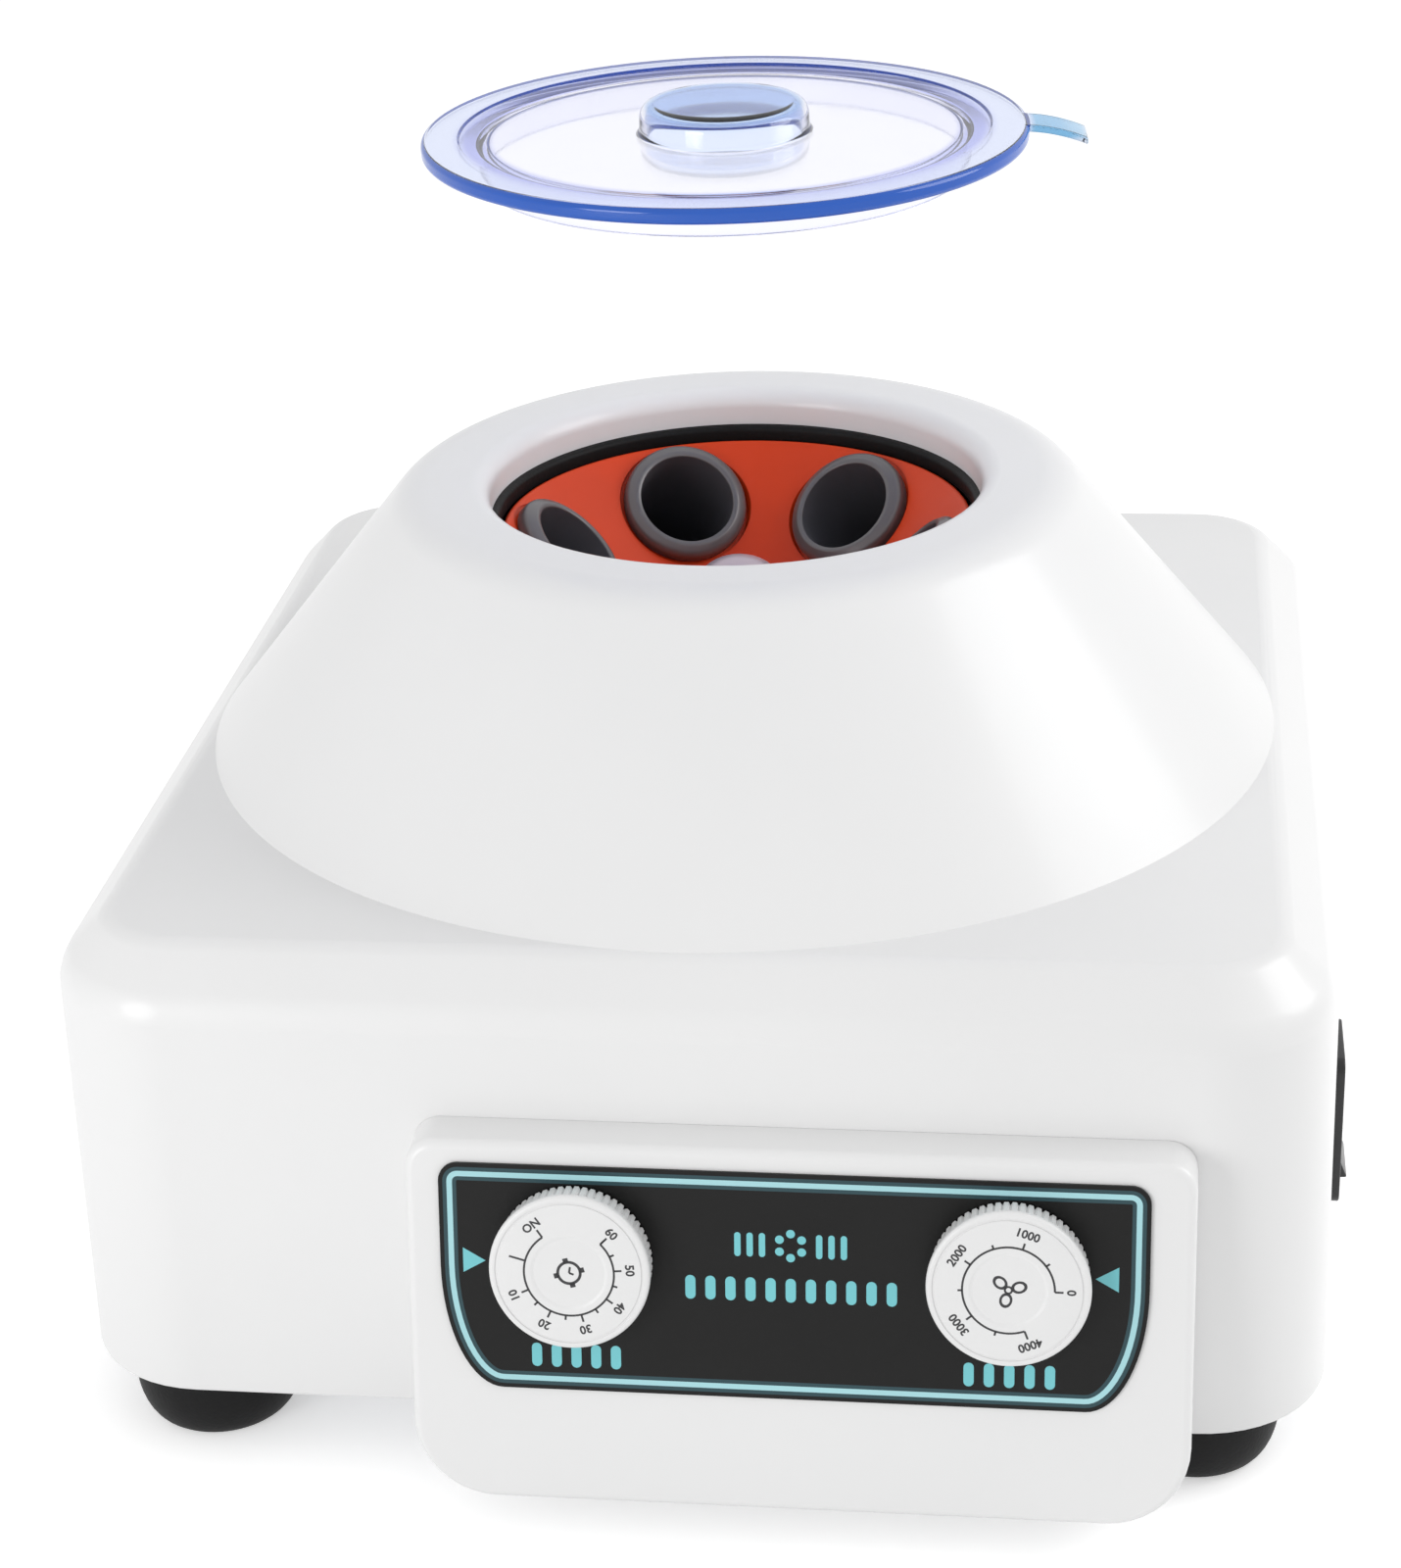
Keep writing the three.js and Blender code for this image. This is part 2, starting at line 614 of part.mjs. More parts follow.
function housingShell() {
  const outer = stacked(boxLevels(0, FOOT_HEIGHT));
  const hollow = stacked(boxLevels(WALL, FOOT_HEIGHT - OVERRUN));
  const [cone, deckHole] = coneWall();
  const posts = join(...cornerPosts()).intersect(outer);
  const postHoles = quarters.map(([sideX, sideY]) =>
    upright(
      sideX * footX,
      sideY * footY,
      FOOT_HEIGHT,
      plateTopZ + SCREW_GRIP + OVERRUN,
      boreFor(SCREW_R),
    ),
  );
  const window = throughY(
    roundedOutline(windowHalfX, windowHalfZ, WINDOW_CORNER_R),
    panelShift + LABEL_SHIFT,
    frontWallY,
    dialWallZ,
    wallSpan,
  );
  const housingScrewHoles = housingScrewXs.map((x) =>
    acrossY(x, frontWallY, housingScrewZ, boreFor(SCREW_R), wallSpan),
  );
  const switchHole = block(
    baseHalfX - (WALL + DRAFT) / 2,
    switchY,
    SWITCH_Z,
    wallSpan,
    SWITCH_WIDTH - 2 * BEZEL_WIDTH + 2 * FIT,
    SWITCH_HEIGHT - 2 * BEZEL_WIDTH + 2 * FIT,
  );
  const inletHole = block(
    INLET_SIDE_OFFSET,
    rearWallY,
    INLET_Z,
    INLET_BODY_WIDTH + 2 * FIT,
    wallSpan,
    INLET_BODY_HEIGHT + 2 * FIT,
  );
  const inletScrewHoles = inletScrewXs.map((x) =>
    acrossY(x, rearWallY, INLET_Z, boreFor(INLET_SCREW_R), wallSpan),
  );
  const vents = Array.from({ length: VENT_COUNT }, (_, i) =>
    block(
      -VENT_SIDE_OFFSET,
      rearWallY,
      FOOT_HEIGHT + VENT_LOW_Z + i * VENT_PITCH,
      VENT_LENGTH,
      wallSpan,
      VENT_HEIGHT,
    ),
  );
  return cut(
    join(cut(join(cut(outer, hollow), posts), deckHole), cone),
    ...postHoles,
    window,
    ...housingScrewHoles,
    switchHole,
    inletHole,
    ...inletScrewHoles,
    ...vents,
  );
}

// Pressed base plate with air slots under the motor and standoffs for the board
const boardX = -(damperRingR + MOTOR_EAR_REACH + BOARD_GAP + BOARD_WIDTH / 2);
const boardSpots = quarters.map(([sideX, sideY]) => [
  boardX + sideX * (BOARD_WIDTH / 2 - BOARD_EDGE),
  spindleY + sideY * (BOARD_DEPTH / 2 - BOARD_EDGE),
]);

function basePlate() {
  const inset = WALL + FIT;
  const outline = roundedOutline(baseHalfX - inset, baseHalfY - inset, CORNER_R - inset);
  const holes = quarters.map(([sideX, sideY]) =>
    circle(sideX * footX, sideY * footY, boreFor(SCREW_R)),
  );
  const plate = solid(pushed(outline, PLATE_THICKNESS, holes).translate(0, 0, FOOT_HEIGHT));
  const slots = Array.from({ length: PLATE_SLOT_COUNT }, (_, i) =>
    solid(
      new THREE.BoxGeometry(PLATE_SLOT_LENGTH, PLATE_SLOT_WIDTH, PLATE_THICKNESS + 2 * OVERRUN)
        .translate(PLATE_SLOT_RING_R, 0, FOOT_HEIGHT + PLATE_THICKNESS / 2)
        .rotateZ((i * 2 * Math.PI) / PLATE_SLOT_COUNT)
        .translate(0, spindleY, 0),
    ),
  );
  const standoffs = boardSpots.map(([x, y]) =>
    upright(x, y, FOOT_HEIGHT, plateTopZ + BOARD_STANDOFF, BOARD_STANDOFF_R),
  );
  return join(cut(plate, ...slots), ...standoffs);
}

// Bowl-shaped rubber foot, recessed from below for its screw
function rubberFoot() {
  const topZ = FOOT_HEIGHT - SEAT;
  const bulge = Array.from({ length: ROUND_STEPS + 1 }, (_, i) => {
    const angle = (i / ROUND_STEPS) * (Math.PI / 2);
    return [
      FOOT_BOTTOM_R + (FOOT_TOP_R - FOOT_BOTTOM_R) * Math.sin(angle),
      (topZ - FOOT_EDGE) * (1 - Math.cos(angle)),
    ];
  });
  return ring(
    [
      [FOOT_RECESS_R, 0],
      ...bulge,
      [FOOT_TOP_R, topZ],
      [boreFor(SCREW_R), topZ],
      [boreFor(SCREW_R), FOOT_RECESS_DEPTH],
      [FOOT_RECESS_R, FOOT_RECESS_DEPTH],
    ],
    FOOT_STEPS,
  );
}

// Pan-head screw that points up, with the seat of its head at zero
const panScrew = (radius, length, headR, headHeight) =>
  turned(
    [
      [0, -headHeight],
      [headR * SCREW_CROWN_SHARE, -headHeight],
      [headR, -headHeight / 2],
      [headR, 0],
      [radius, 0],
      [radius, length],
      [0, length],
    ],
    PIN_STEPS,
  );

// Guard bowl under the deck: flat floor, round bend, straight wall and flange
function guardBowl() {
  const holeR = MOTOR_R + BOWL_HOLE_MARGIN;
  const bend = BOWL_BEND + BOWL_THICKNESS;
  const bendR = bowlR + BOWL_THICKNESS - bend;
  const wallR = bowlR + BOWL_THICKNESS;
  const curve = (radius) =>
    arc(bendR, bowlFloorZ + bend, radius, -Math.PI / 2, 0, EDGE_STEPS);
  return ring(
    [
      [holeR, bowlFloorZ],
      ...curve(bend),
      [wallR, bowlTopZ - BOWL_THICKNESS],
      [wallR + BOWL_FLANGE, bowlTopZ - BOWL_THICKNESS],
      [wallR + BOWL_FLANGE, bowlTopZ],
      [bowlR, bowlTopZ],
      ...curve(BOWL_BEND).reverse(),
      [holeR + BOWL_THICKNESS, bowlFloorZ + BOWL_THICKNESS],
      [holeR + BOWL_THICKNESS, bowlFloorZ + BOWL_COLLAR],
      [holeR, bowlFloorZ + BOWL_COLLAR],
    ],
    BOWL_STEPS,
  );
}

// Rubber trim: a ring under the lip with a collar round the lip's outside
function openingTrim() {
  const trimInnerR = rotorRimR + TRIM_REACH;
  const topZ = rimZ - LIP_DEPTH - SEAT;
  const collarR = openingR + WALL + FIT;
  return ring(
    [
      [trimInnerR, topZ - TRIM_DROP],
      [collarR + TRIM_COLLAR_WALL, topZ - TRIM_DROP],
      [collarR + TRIM_COLLAR_WALL, topZ + TRIM_COLLAR_RISE],
      [collarR, topZ + TRIM_COLLAR_RISE],
      [collarR, topZ],
      [trimInnerR, topZ],
    ],
    CONE_STEPS,
  );
}

// Motor: capped can with cooling slots and a pocket for each bearing
const bearingOuterR = SHAFT_R + FIT + BEARING_WALL;
const motorBossTopZ = motorTopZ + MOTOR_BOSS_HEIGHT;

function motorCan() {
  const boreR = boreFor(SHAFT_R);
  const pocketR = boreFor(bearingOuterR, SLEEVE_STEPS);
  const canR = MOTOR_R - MOTOR_CAP_LIP;
  const bossR = pocketR + MOTOR_BOSS_WALL;
  const body = ring(
    [
      [pocketR, motorBaseZ],
      [MOTOR_R, motorBaseZ],
      [MOTOR_R, motorBaseZ + MOTOR_CAP_HEIGHT],
      [canR, motorBaseZ + MOTOR_CAP_HEIGHT],
      [canR, motorTopZ - MOTOR_CAP_HEIGHT],
      [MOTOR_R, motorTopZ - MOTOR_CAP_HEIGHT],
      [MOTOR_R, motorTopZ],
      [bossR, motorTopZ],
      [bossR, motorBossTopZ],
      [pocketR, motorBossTopZ],
      [pocketR, motorBossTopZ - BEARING_HEIGHT - SEAT],
      [boreR, motorBossTopZ - BEARING_HEIGHT - SEAT],
      [boreR, motorBaseZ + BEARING_HEIGHT + SEAT],
      [pocketR, motorBaseZ + BEARING_HEIGHT + SEAT],
    ],
    FOOT_STEPS,
  );
  const slots = Array.from({ length: MOTOR_SLOT_COUNT }, (_, i) =>
    solid(
      new THREE.BoxGeometry(
        2 * MOTOR_SLOT_DEPTH,
        MOTOR_SLOT_WIDTH,
        MOTOR_LENGTH - 4 * MOTOR_CAP_HEIGHT,
      )
        .translate(canR, 0, (motorBaseZ + motorTopZ) / 2)
        .rotateZ((i * 2 * Math.PI) / MOTOR_SLOT_COUNT),
    ),
  );
  return cut(body, ...slots);
}

const bearing = (lowZ) =>
  ring(
    [
      [boreFor(SHAFT_R), lowZ],
      [bearingOuterR, lowZ],
      [bearingOuterR, lowZ + BEARING_HEIGHT],
      [boreFor(SHAFT_R), lowZ + BEARING_HEIGHT],
    ],
    SLEEVE_STEPS,
  );

const damperSpots = Array.from({ length: DAMPER_COUNT }, (_, i) => {
  const turn = DAMPER_TURN + (i * 2 * Math.PI) / DAMPER_COUNT;
  return [damperRingR * Math.cos(turn), damperRingR * Math.sin(turn)];
});

function motorPlate() {
  const topZ = motorPlateZ + MOTOR_PLATE_THICKNESS;
  const earR = MOTOR_EAR_REACH;
  const ears = damperSpots.map(([x, y]) => upright(x, y, motorPlateZ, topZ, earR, SLEEVE_STEPS));
  return join(upright(0, 0, motorPlateZ, topZ, MOTOR_R, FOOT_STEPS), ...ears);
}

const damper = () =>
  turned(
    [
      [0, 0],
      [DAMPER_R, 0],
      [DAMPER_R, DAMPER_HEIGHT / 4],
      [DAMPER_R - DAMPER_WAIST, DAMPER_HEIGHT / 2],
      [DAMPER_R, (DAMPER_HEIGHT * 3) / 4],
      [DAMPER_R, DAMPER_HEIGHT],
      [0, DAMPER_HEIGHT],
    ],
    SLEEVE_STEPS,
  );

// Board with its heat sink, capacitor and terminal block
function controlBoard() {
  const lowZ = plateTopZ + BOARD_STANDOFF + SEAT;
  const rootZ = lowZ + BOARD_THICKNESS / 2;
  const standing = (x, y, sizeX, sizeY, height) =>
    block(
      boardX + x,
      spindleY + y,
      rootZ + (height + BOARD_THICKNESS / 2) / 2,
      sizeX,
      sizeY,
      height + BOARD_THICKNESS / 2,
    );
  const board = block(
    boardX,
    spindleY,
    lowZ + BOARD_THICKNESS / 2,
    BOARD_WIDTH,
    BOARD_DEPTH,
    BOARD_THICKNESS,
  );
  const quarterX = BOARD_WIDTH / 4;
  const quarterY = BOARD_DEPTH / 4;
  const finPitch = HEATSINK_WIDTH / HEATSINK_FINS;
  const fins = Array.from({ length: HEATSINK_FINS }, (_, i) =>
    standing(
      (i + 1 / 2) * finPitch - HEATSINK_WIDTH / 2 + quarterX / 2,
      quarterY / 2,
      finPitch * HEATSINK_FIN_SHARE,
      HEATSINK_DEPTH,
      HEATSINK_HEIGHT,
    ),
  );
  const sinkBase = standing(
    quarterX / 2,
    quarterY / 2,
    HEATSINK_WIDTH,
    HEATSINK_DEPTH,
    HEATSINK_HEIGHT / 4,
  );
  const capacitor = upright(
    boardX - quarterX,
    spindleY - quarterY,
    rootZ,
    rootZ + CAPACITOR_HEIGHT,
    CAPACITOR_R,
  );
  const terminals = standing(
    quarterX / 2,
    TERMINAL_WIDTH / 2 + BOARD_EDGE - BOARD_DEPTH / 2,
    Math.min(TERMINAL_LENGTH, BOARD_WIDTH - 2 * BOARD_EDGE - quarterX),
    TERMINAL_WIDTH,
    TERMINAL_HEIGHT,
  );
  return join(board, sinkBase, ...fins, capacitor, terminals);
}

// Rotor dish: one moulding with a funnel, a guide tube for each sleeve, radial ribs and a boss
const hubBodyR = SHAFT_R + FIT + HUB_WALL;
const dishBoreR = boreFor(hubBodyR, DISH_STEPS);
const dishBossR = dishBoreR + DISH_BOSS_WALL;

function rotorDish() {
  const underFloorR = rotorFloorR + DISH_WALL * Math.tan(SLEEVE_TILT / 2);
  const underRimZ =
    rotorFloorZ - DISH_WALL + (rotorRimR - underFloorR) * Math.tan(SLEEVE_TILT);
  const funnel = ring(
    [
      [dishBoreR, hubBottomZ],
      [dishBossR, hubBottomZ],
      [dishBossR, rotorFloorZ - DISH_WALL],
      [underFloorR, rotorFloorZ - DISH_WALL],
      [rotorRimR, underRimZ],
      [rotorRimR, rotorRimZ],
      [rotorFloorR, rotorFloorZ],
      [dishBoreR, rotorFloorZ],
    ],
    DISH_STEPS,
  );
  const guides = sleeveIndexes.map((i) =>
    upright(
      0,
      0,
      -GUIDE_LENGTH,
      -DISH_WALL / 2,
      sleeveOuterR + FIT + GUIDE_WALL,
      SLEEVE_STEPS,
    ).transform(sleeveFrame(i).elements),
  );
  const ribOutline = [
    [dishBossR - DISH_BOSS_WALL / 2, hubBottomZ + DISH_RIB_THICKNESS],
    [underFloorR, rotorFloorZ - DISH_WALL - DISH_RIB_DROP],
    [rotorRimR - DISH_WALL, underRimZ - DISH_WALL - DISH_RIB_DROP],
    [rotorRimR - DISH_WALL, underRimZ],
    [underFloorR, rotorFloorZ - DISH_WALL / 2],
    [dishBossR - DISH_BOSS_WALL / 2, rotorFloorZ - DISH_WALL / 2],
  ];
  const ribs = sleeveIndexes.map((i) =>
    throughY(ribOutline, 0, 0, 0, DISH_RIB_THICKNESS).rotate([
      0,
      0,
      THREE.MathUtils.radToDeg(FIRST_SLEEVE_TURN) + ((i + 1 / 2) * 360) / SLEEVE_COUNT,
    ]),
  );
  const bores = sleeveIndexes.map((i) =>
    join(
      upright(
        0,
        0,
        -GUIDE_LENGTH - OVERRUN,
        OVERRUN,
        boreFor(sleeveOuterR, SLEEVE_STEPS),
        SLEEVE_STEPS,
      ),
      upright(
        0,
        0,
        0,
        SLEEVE_FLANGE_HEIGHT,
        boreFor(SLEEVE_FLANGE_R, SLEEVE_STEPS),
        SLEEVE_STEPS,
      ),
    ).transform(sleeveFrame(i).elements),
  );
  return cut(join(funnel, ...guides, ...ribs), ...bores);
}

// Sleeve: flanged mouth with a raised lip, straight barrel and round bottom, seat at zero
function sleeve() {
  const bottomZ = -sleeveArm;
  const seatZ = FIT;
  const topZ = seatZ + SLEEVE_FLANGE_HEIGHT;
  const ease = SLEEVE_FLANGE_HEIGHT / 4;
  const lipR = SLEEVE_BORE_R + SLEEVE_WALL;
  return turned(
    [
      ...arc(0, bottomZ, sleeveOuterR, -Math.PI / 2, 0, ROUND_STEPS),
      [sleeveOuterR, seatZ],
      [SLEEVE_FLANGE_R, seatZ],
      [SLEEVE_FLANGE_R, topZ - ease],
      [SLEEVE_FLANGE_R - ease, topZ],
      [lipR, topZ],
      [lipR - SLEEVE_WALL / 2, topZ + SLEEVE_LIP],
      [SLEEVE_BORE_R, topZ + SLEEVE_LIP / 2],
      ...arc(0, bottomZ, SLEEVE_BORE_R, 0, -Math.PI / 2, ROUND_STEPS),
    ],
    SLEEVE_STEPS,
  );
}

// Flanged metal hub in the boss of the dish
function rotorHub() {
  const seatZ = rotorFloorZ + SEAT;
  return ring(
    [
      [boreFor(SHAFT_R), hubBottomZ - HUB_TAIL],
      [hubBodyR, hubBottomZ - HUB_TAIL],
      [hubBodyR, seatZ],
      [hubBodyR + HUB_FLANGE_WIDTH, seatZ],
      [hubBodyR + HUB_FLANGE_WIDTH, rotorFloorZ + HUB_FLANGE_HEIGHT],
      [boreFor(SHAFT_R), rotorFloorZ + HUB_FLANGE_HEIGHT],
    ],
    SLEEVE_STEPS,
  );
}

// Domed nut, closed on top, on the end of the spindle
function rotorNut() {
  const lowZ = rotorFloorZ + HUB_FLANGE_HEIGHT + SEAT;
  const dome = Array.from({ length: ROUND_STEPS + 1 }, (_, i) => {
    const angle = (i / ROUND_STEPS) * (Math.PI / 2);
    return [
      NUT_R * Math.cos(angle),
      lowZ + NUT_SKIRT + (NUT_HEIGHT - NUT_SKIRT) * Math.sin(angle),
    ];
  });
  return turned(
    [
      [boreFor(SHAFT_R), lowZ],
      [NUT_R, lowZ],
      ...dome.slice(0, -1),
      [0, lowZ + NUT_HEIGHT],
      [0, lowZ + NUT_THREAD_DEPTH],
      [boreFor(SHAFT_R), lowZ + NUT_THREAD_DEPTH],
      [boreFor(SHAFT_R), lowZ],
    ],
    SLEEVE_STEPS,
  );
}

// Control housing: open-backed box with a leaning face, drawn as loops from back to front
function controlHousing() {
  const faceY = (z) =>
    -baseHalfY - HOUSING_PROUD - Math.tan(HOUSING_LEAN) * (HOUSING_TOP_Z - z);
  const backY = (z) => draftAt(z) - baseHalfY - SEAT;
  const loop = (inset, placeY) =>
    roundedOutline(
      HOUSING_WIDTH / 2 - inset,
      HOUSING_HEIGHT / 2 - inset,
      HOUSING_LOW_CORNER_R - inset,
      HOUSING_TOP_CORNER_R - inset,
    ).map(([x, z]) => new THREE.Vector3(x + panelShift, placeY(z + housingMidZ), z + housingMidZ));
  const edge = arc(0, 0, HOUSING_EDGE_R, 0, Math.PI / 2, EDGE_STEPS).map(([side, rise]) =>
    loop(HOUSING_EDGE_R - side, (z) => faceY(z) + HOUSING_EDGE_R - rise),
  );
  const outer = lofted([loop(0, backY), ...edge]);
  const hollow = lofted([
    loop(WALL, (z) => backY(z) + OVERRUN),
    loop(WALL, (z) => faceY(z) + WALL),
  ]);
  const lowZ = HOUSING_TOP_Z - HOUSING_HEIGHT;
  const sillHeight = FOOT_HEIGHT + WALL - lowZ;
  const sill = block(
    panelShift,
    -baseHalfY - WALL / 2,
    lowZ + sillHeight / 2,
    HOUSING_WIDTH,
    WALL + OVERRUN,
    sillHeight,
  ).intersect(outer);
  const bossSpan = HOUSING_PROUD + HOUSING_SCREW_DROP * Math.tan(HOUSING_LEAN) - WALL / 2;
  const bosses = housingScrewXs.map((x) =>
    acrossY(x, -baseHalfY - SEAT - bossSpan / 2, housingScrewZ, HOUSING_BOSS_R, bossSpan),
  );
  const pilots = housingScrewXs.map((x) =>
    acrossY(x, -baseHalfY, housingScrewZ, boreFor(SCREW_R), 2 * SCREW_GRIP - WALL),
  );
  const bushHoles = [timerX, speedX].map((x) =>
    upright(x, -DIAL_DROP, -WALL - OVERRUN, OVERRUN, boreFor(BUSH_R)).transform(
      panelFrame.elements,
    ),
  );
  const shell = join(cut(outer, hollow), sill, join(...bosses).intersect(outer));
  return cut(shell, ...pilots, ...bushHoles);
}

// Label plate: small corners above, long sweeping corners below, a hole for each bush
const labelTopY = -LABEL_DROP;
const labelLowY = labelTopY - LABEL_HEIGHT;

function labelPlate() {
  const halfX = labelWidth / 2;
  const sweep = (side, start) =>
    arc(0, 0, 1, start, start + Math.PI / 2, 2 * ROUND_STEPS).map(([x, y]) => [
      LABEL_SHIFT + side * (halfX - LABEL_SWEEP_X) + x * LABEL_SWEEP_X,
      labelLowY + LABEL_SWEEP_Y + y * LABEL_SWEEP_Y,
    ]);
  const small = (side, start) =>
    arc(
      LABEL_SHIFT + side * (halfX - LABEL_TOP_CORNER_R),
      labelTopY - LABEL_TOP_CORNER_R,
      LABEL_TOP_CORNER_R,
      start,
      start + Math.PI / 2,
      ROUND_STEPS,
    );
  const outline = [
    ...sweep(-1, Math.PI),
    ...sweep(1, -Math.PI / 2),
    ...small(1, 0),
    ...small(-1, Math.PI / 2),
  ];
  const holes = [timerX, speedX].map((x) => circle(x, -DIAL_DROP, boreFor(BUSH_R)));
  return solid(pushed(outline, LABEL_THICKNESS, holes).translate(0, 0, SEAT));
}

// Heights above the panel face, shared by the pieces stacked on each bush
const labelTop = SEAT + LABEL_THICKNESS;
const nutTop = labelTop + SEAT + BUSH_NUT_HEIGHT;
const knobLow = labelTop + KNOB_SHADOW_GAP;
const knobTop = labelTop + KNOB_HEIGHT;
const knobCeiling = knobTop - KNOB_SKIN;
const behindPanel = -WALL - SEAT;

const threadedBush = () => upright(0, 0, behindPanel - OVERRUN, nutTop, BUSH_R);
const shaftBore = (depth) =>
  upright(0, 0, behindPanel - depth, nutTop + OVERRUN, boreFor(DIAL_SHAFT_R));

// Clockwork timer case behind the panel
function timerUnit() {
  const outline = roundedOutline(TIMER_WIDTH / 2, TIMER_HEIGHT / 2, TIMER_EDGE);
  const box = solid(
    pushed(outline, TIMER_DEPTH).translate(0, 0, behindPanel - TIMER_DEPTH),
  );
  return cut(join(box, threadedBush()), shaftBore(TIMER_DEPTH / 2));
}

// Round speed potentiometer with its row of tags
function potentiometer() {
  const can = upright(0, 0, behindPanel - POT_DEPTH, behindPanel, POT_R, SLEEVE_STEPS);
  const tags = block(
    0,
    -POT_R - POT_TAG_LENGTH / 4,
    behindPanel - POT_DEPTH / 2,
    POT_TAG_WIDTH,
    POT_TAG_LENGTH,
    POT_TAG_THICKNESS,
  );
  return cut(join(can, tags, threadedBush()), shaftBore(POT_DEPTH / 2));
}

// Hexagonal nut on the bush
const bushNut = () =>
  cut(
    upright(0, 0, labelTop + SEAT, nutTop, BUSH_NUT_R, BUSH_NUT_SIDES),
    upright(0, 0, labelTop, nutTop + OVERRUN, boreFor(BUSH_R)),
  );

const dialShaft = (depth) => upright(0, 0, behindPanel - depth + FIT, knobCeiling, DIAL_SHAFT_R);

// Dial knob: knurled skirt, smooth face with a fine ring, hollow back with a stem
function dialKnob() {
  const skirtR = KNOB_R - KNURL_STEP;
  const faceZ = knobTop - KNOB_FACE_DEPTH;
  const knurls = Array.from({ length: 2 * KNURL_COUNT }, (_, i) => {
    const angle = (i * Math.PI) / KNURL_COUNT;
    const radius = i % 2 ? skirtR - KNURL_DEPTH : skirtR;
    return [radius * Math.cos(angle), radius * Math.sin(angle)];
  });
  const skirt = solid(pushed(knurls, faceZ + KNOB_FACE_ROUND - knobLow).translate(0, 0, knobLow));
  const face = turned(
    [
      [0, faceZ],
      [KNOB_R - KNOB_FACE_ROUND, faceZ],
      [KNOB_R, faceZ + KNOB_FACE_ROUND],
      [KNOB_R, knobTop - KNOB_FACE_ROUND],
      [KNOB_R - KNOB_FACE_ROUND, knobTop],
      [0, knobTop],
    ],
    KNOB_STEPS,
  );
  const grooveR = KNOB_R * KNOB_GROOVE_SHARE;
  const groove = ring(
    [
      [grooveR - KNOB_GROOVE_WIDTH / 2, knobTop - KNOB_GROOVE_DEPTH],
      [grooveR + KNOB_GROOVE_WIDTH / 2, knobTop - KNOB_GROOVE_DEPTH],
      [grooveR + KNOB_GROOVE_WIDTH / 2, knobTop + OVERRUN],
      [grooveR - KNOB_GROOVE_WIDTH / 2, knobTop + OVERRUN],
    ],
    KNOB_STEPS,
  );
  const hollowR = skirtR - KNURL_DEPTH - KNOB_SKIN;
  const stemLow = nutTop + FIT;
  const hollow = upright(0, 0, knobLow - OVERRUN, stemLow, hollowR, KNOB_STEPS);
  const stemR = boreFor(DIAL_SHAFT_R) + KNOB_STEM_WALL;
  const roundStem = ring(
    [
      [stemR, stemLow - OVERRUN],
      [hollowR, stemLow - OVERRUN],
      [hollowR, knobCeiling],
      [stemR, knobCeiling],
    ],
    KNOB_STEPS,
  );
  const socket = upright(0, 0, knobLow, knobCeiling + FIT, boreFor(DIAL_SHAFT_R));
  return cut(join(skirt, face), groove, hollow, roundStem, socket);
}

// Rocker switch: a bezel with a deep pocket outside the wall, and the rocker on its pins
const switchWallX = baseHalfX - draftAt(SWITCH_Z - SWITCH_HEIGHT / 2) + SEAT;
const pocketHalfZ = SWITCH_HEIGHT / 2 - BEZEL_WIDTH - SWITCH_POCKET_WALL;
const pocketHalfY = SWITCH_WIDTH / 2 - BEZEL_WIDTH - SWITCH_POCKET_WALL;
const rockerHalfZ = pocketHalfZ - 2 * FIT;
const rockerHalfY = pocketHalfY - FIT;
const pinX = switchWallX - ROCKER_SINK;

function switchFrame() {
  const bezel = throughX(
    roundedOutline(SWITCH_WIDTH / 2, SWITCH_HEIGHT / 2, SWITCH_CORNER_R),
    switchWallX + BEZEL_PROUD / 2,
    switchY,
    SWITCH_Z,
    BEZEL_PROUD,
  );
  const bodySpan = SWITCH_BODY_DEPTH + BEZEL_PROUD / 2;
  const body = block(
    switchWallX + BEZEL_PROUD / 2 - bodySpan / 2,
    switchY,
    SWITCH_Z,
    bodySpan,
    SWITCH_WIDTH - 2 * BEZEL_WIDTH,
    SWITCH_HEIGHT - 2 * BEZEL_WIDTH,
  );
  const pocketSpan = SWITCH_POCKET_DEPTH + BEZEL_PROUD + OVERRUN;
  const pocket = block(
    switchWallX + BEZEL_PROUD + OVERRUN - pocketSpan / 2,
    switchY,
    SWITCH_Z,
    pocketSpan,
    2 * pocketHalfY,
    2 * pocketHalfZ,
  );
  const pinReach = rockerHalfY + ROCKER_PIN_REACH + FIT;
  const pinHole = acrossY(pinX, switchY, SWITCH_Z, boreFor(ROCKER_PIN_R), 2 * pinReach);
  return cut(join(bezel, body), pocket, pinHole);
}

// The rocker, drawn about its pin and then tilted so that its lower end stands out
function powerRocker() {
  const reach = Math.sqrt(rockerHalfZ ** 2 - ROCKER_RISE ** 2);
  const outline = [
    [-ROCKER_KEEL, -reach * ROCKER_KEEL_SHARE],
    [-ROCKER_SHOULDER, -reach + ROCKER_DIP],
    [ROCKER_RISE, -reach],
    [ROCKER_DIP, 0],
    [ROCKER_RISE, reach],
    [-ROCKER_SHOULDER, reach - ROCKER_DIP],
    [-ROCKER_KEEL, reach * ROCKER_KEEL_SHARE],
  ].reverse();
  const body = throughY(outline, 0, 0, 0, 2 * rockerHalfY);
  const pin = acrossY(0, 0, 0, ROCKER_PIN_R, 2 * (rockerHalfY + ROCKER_PIN_REACH));
  return join(body, pin);
}

// Mains inlet: flanged socket with three blades, opening to the rear
const inletFaceY = baseHalfY - draftAt(INLET_Z - INLET_FLANGE_HEIGHT / 2) + SEAT;
const inletFlangeWidth = INLET_SCREW_SPACING + 2 * INLET_SCREW_MARGIN;

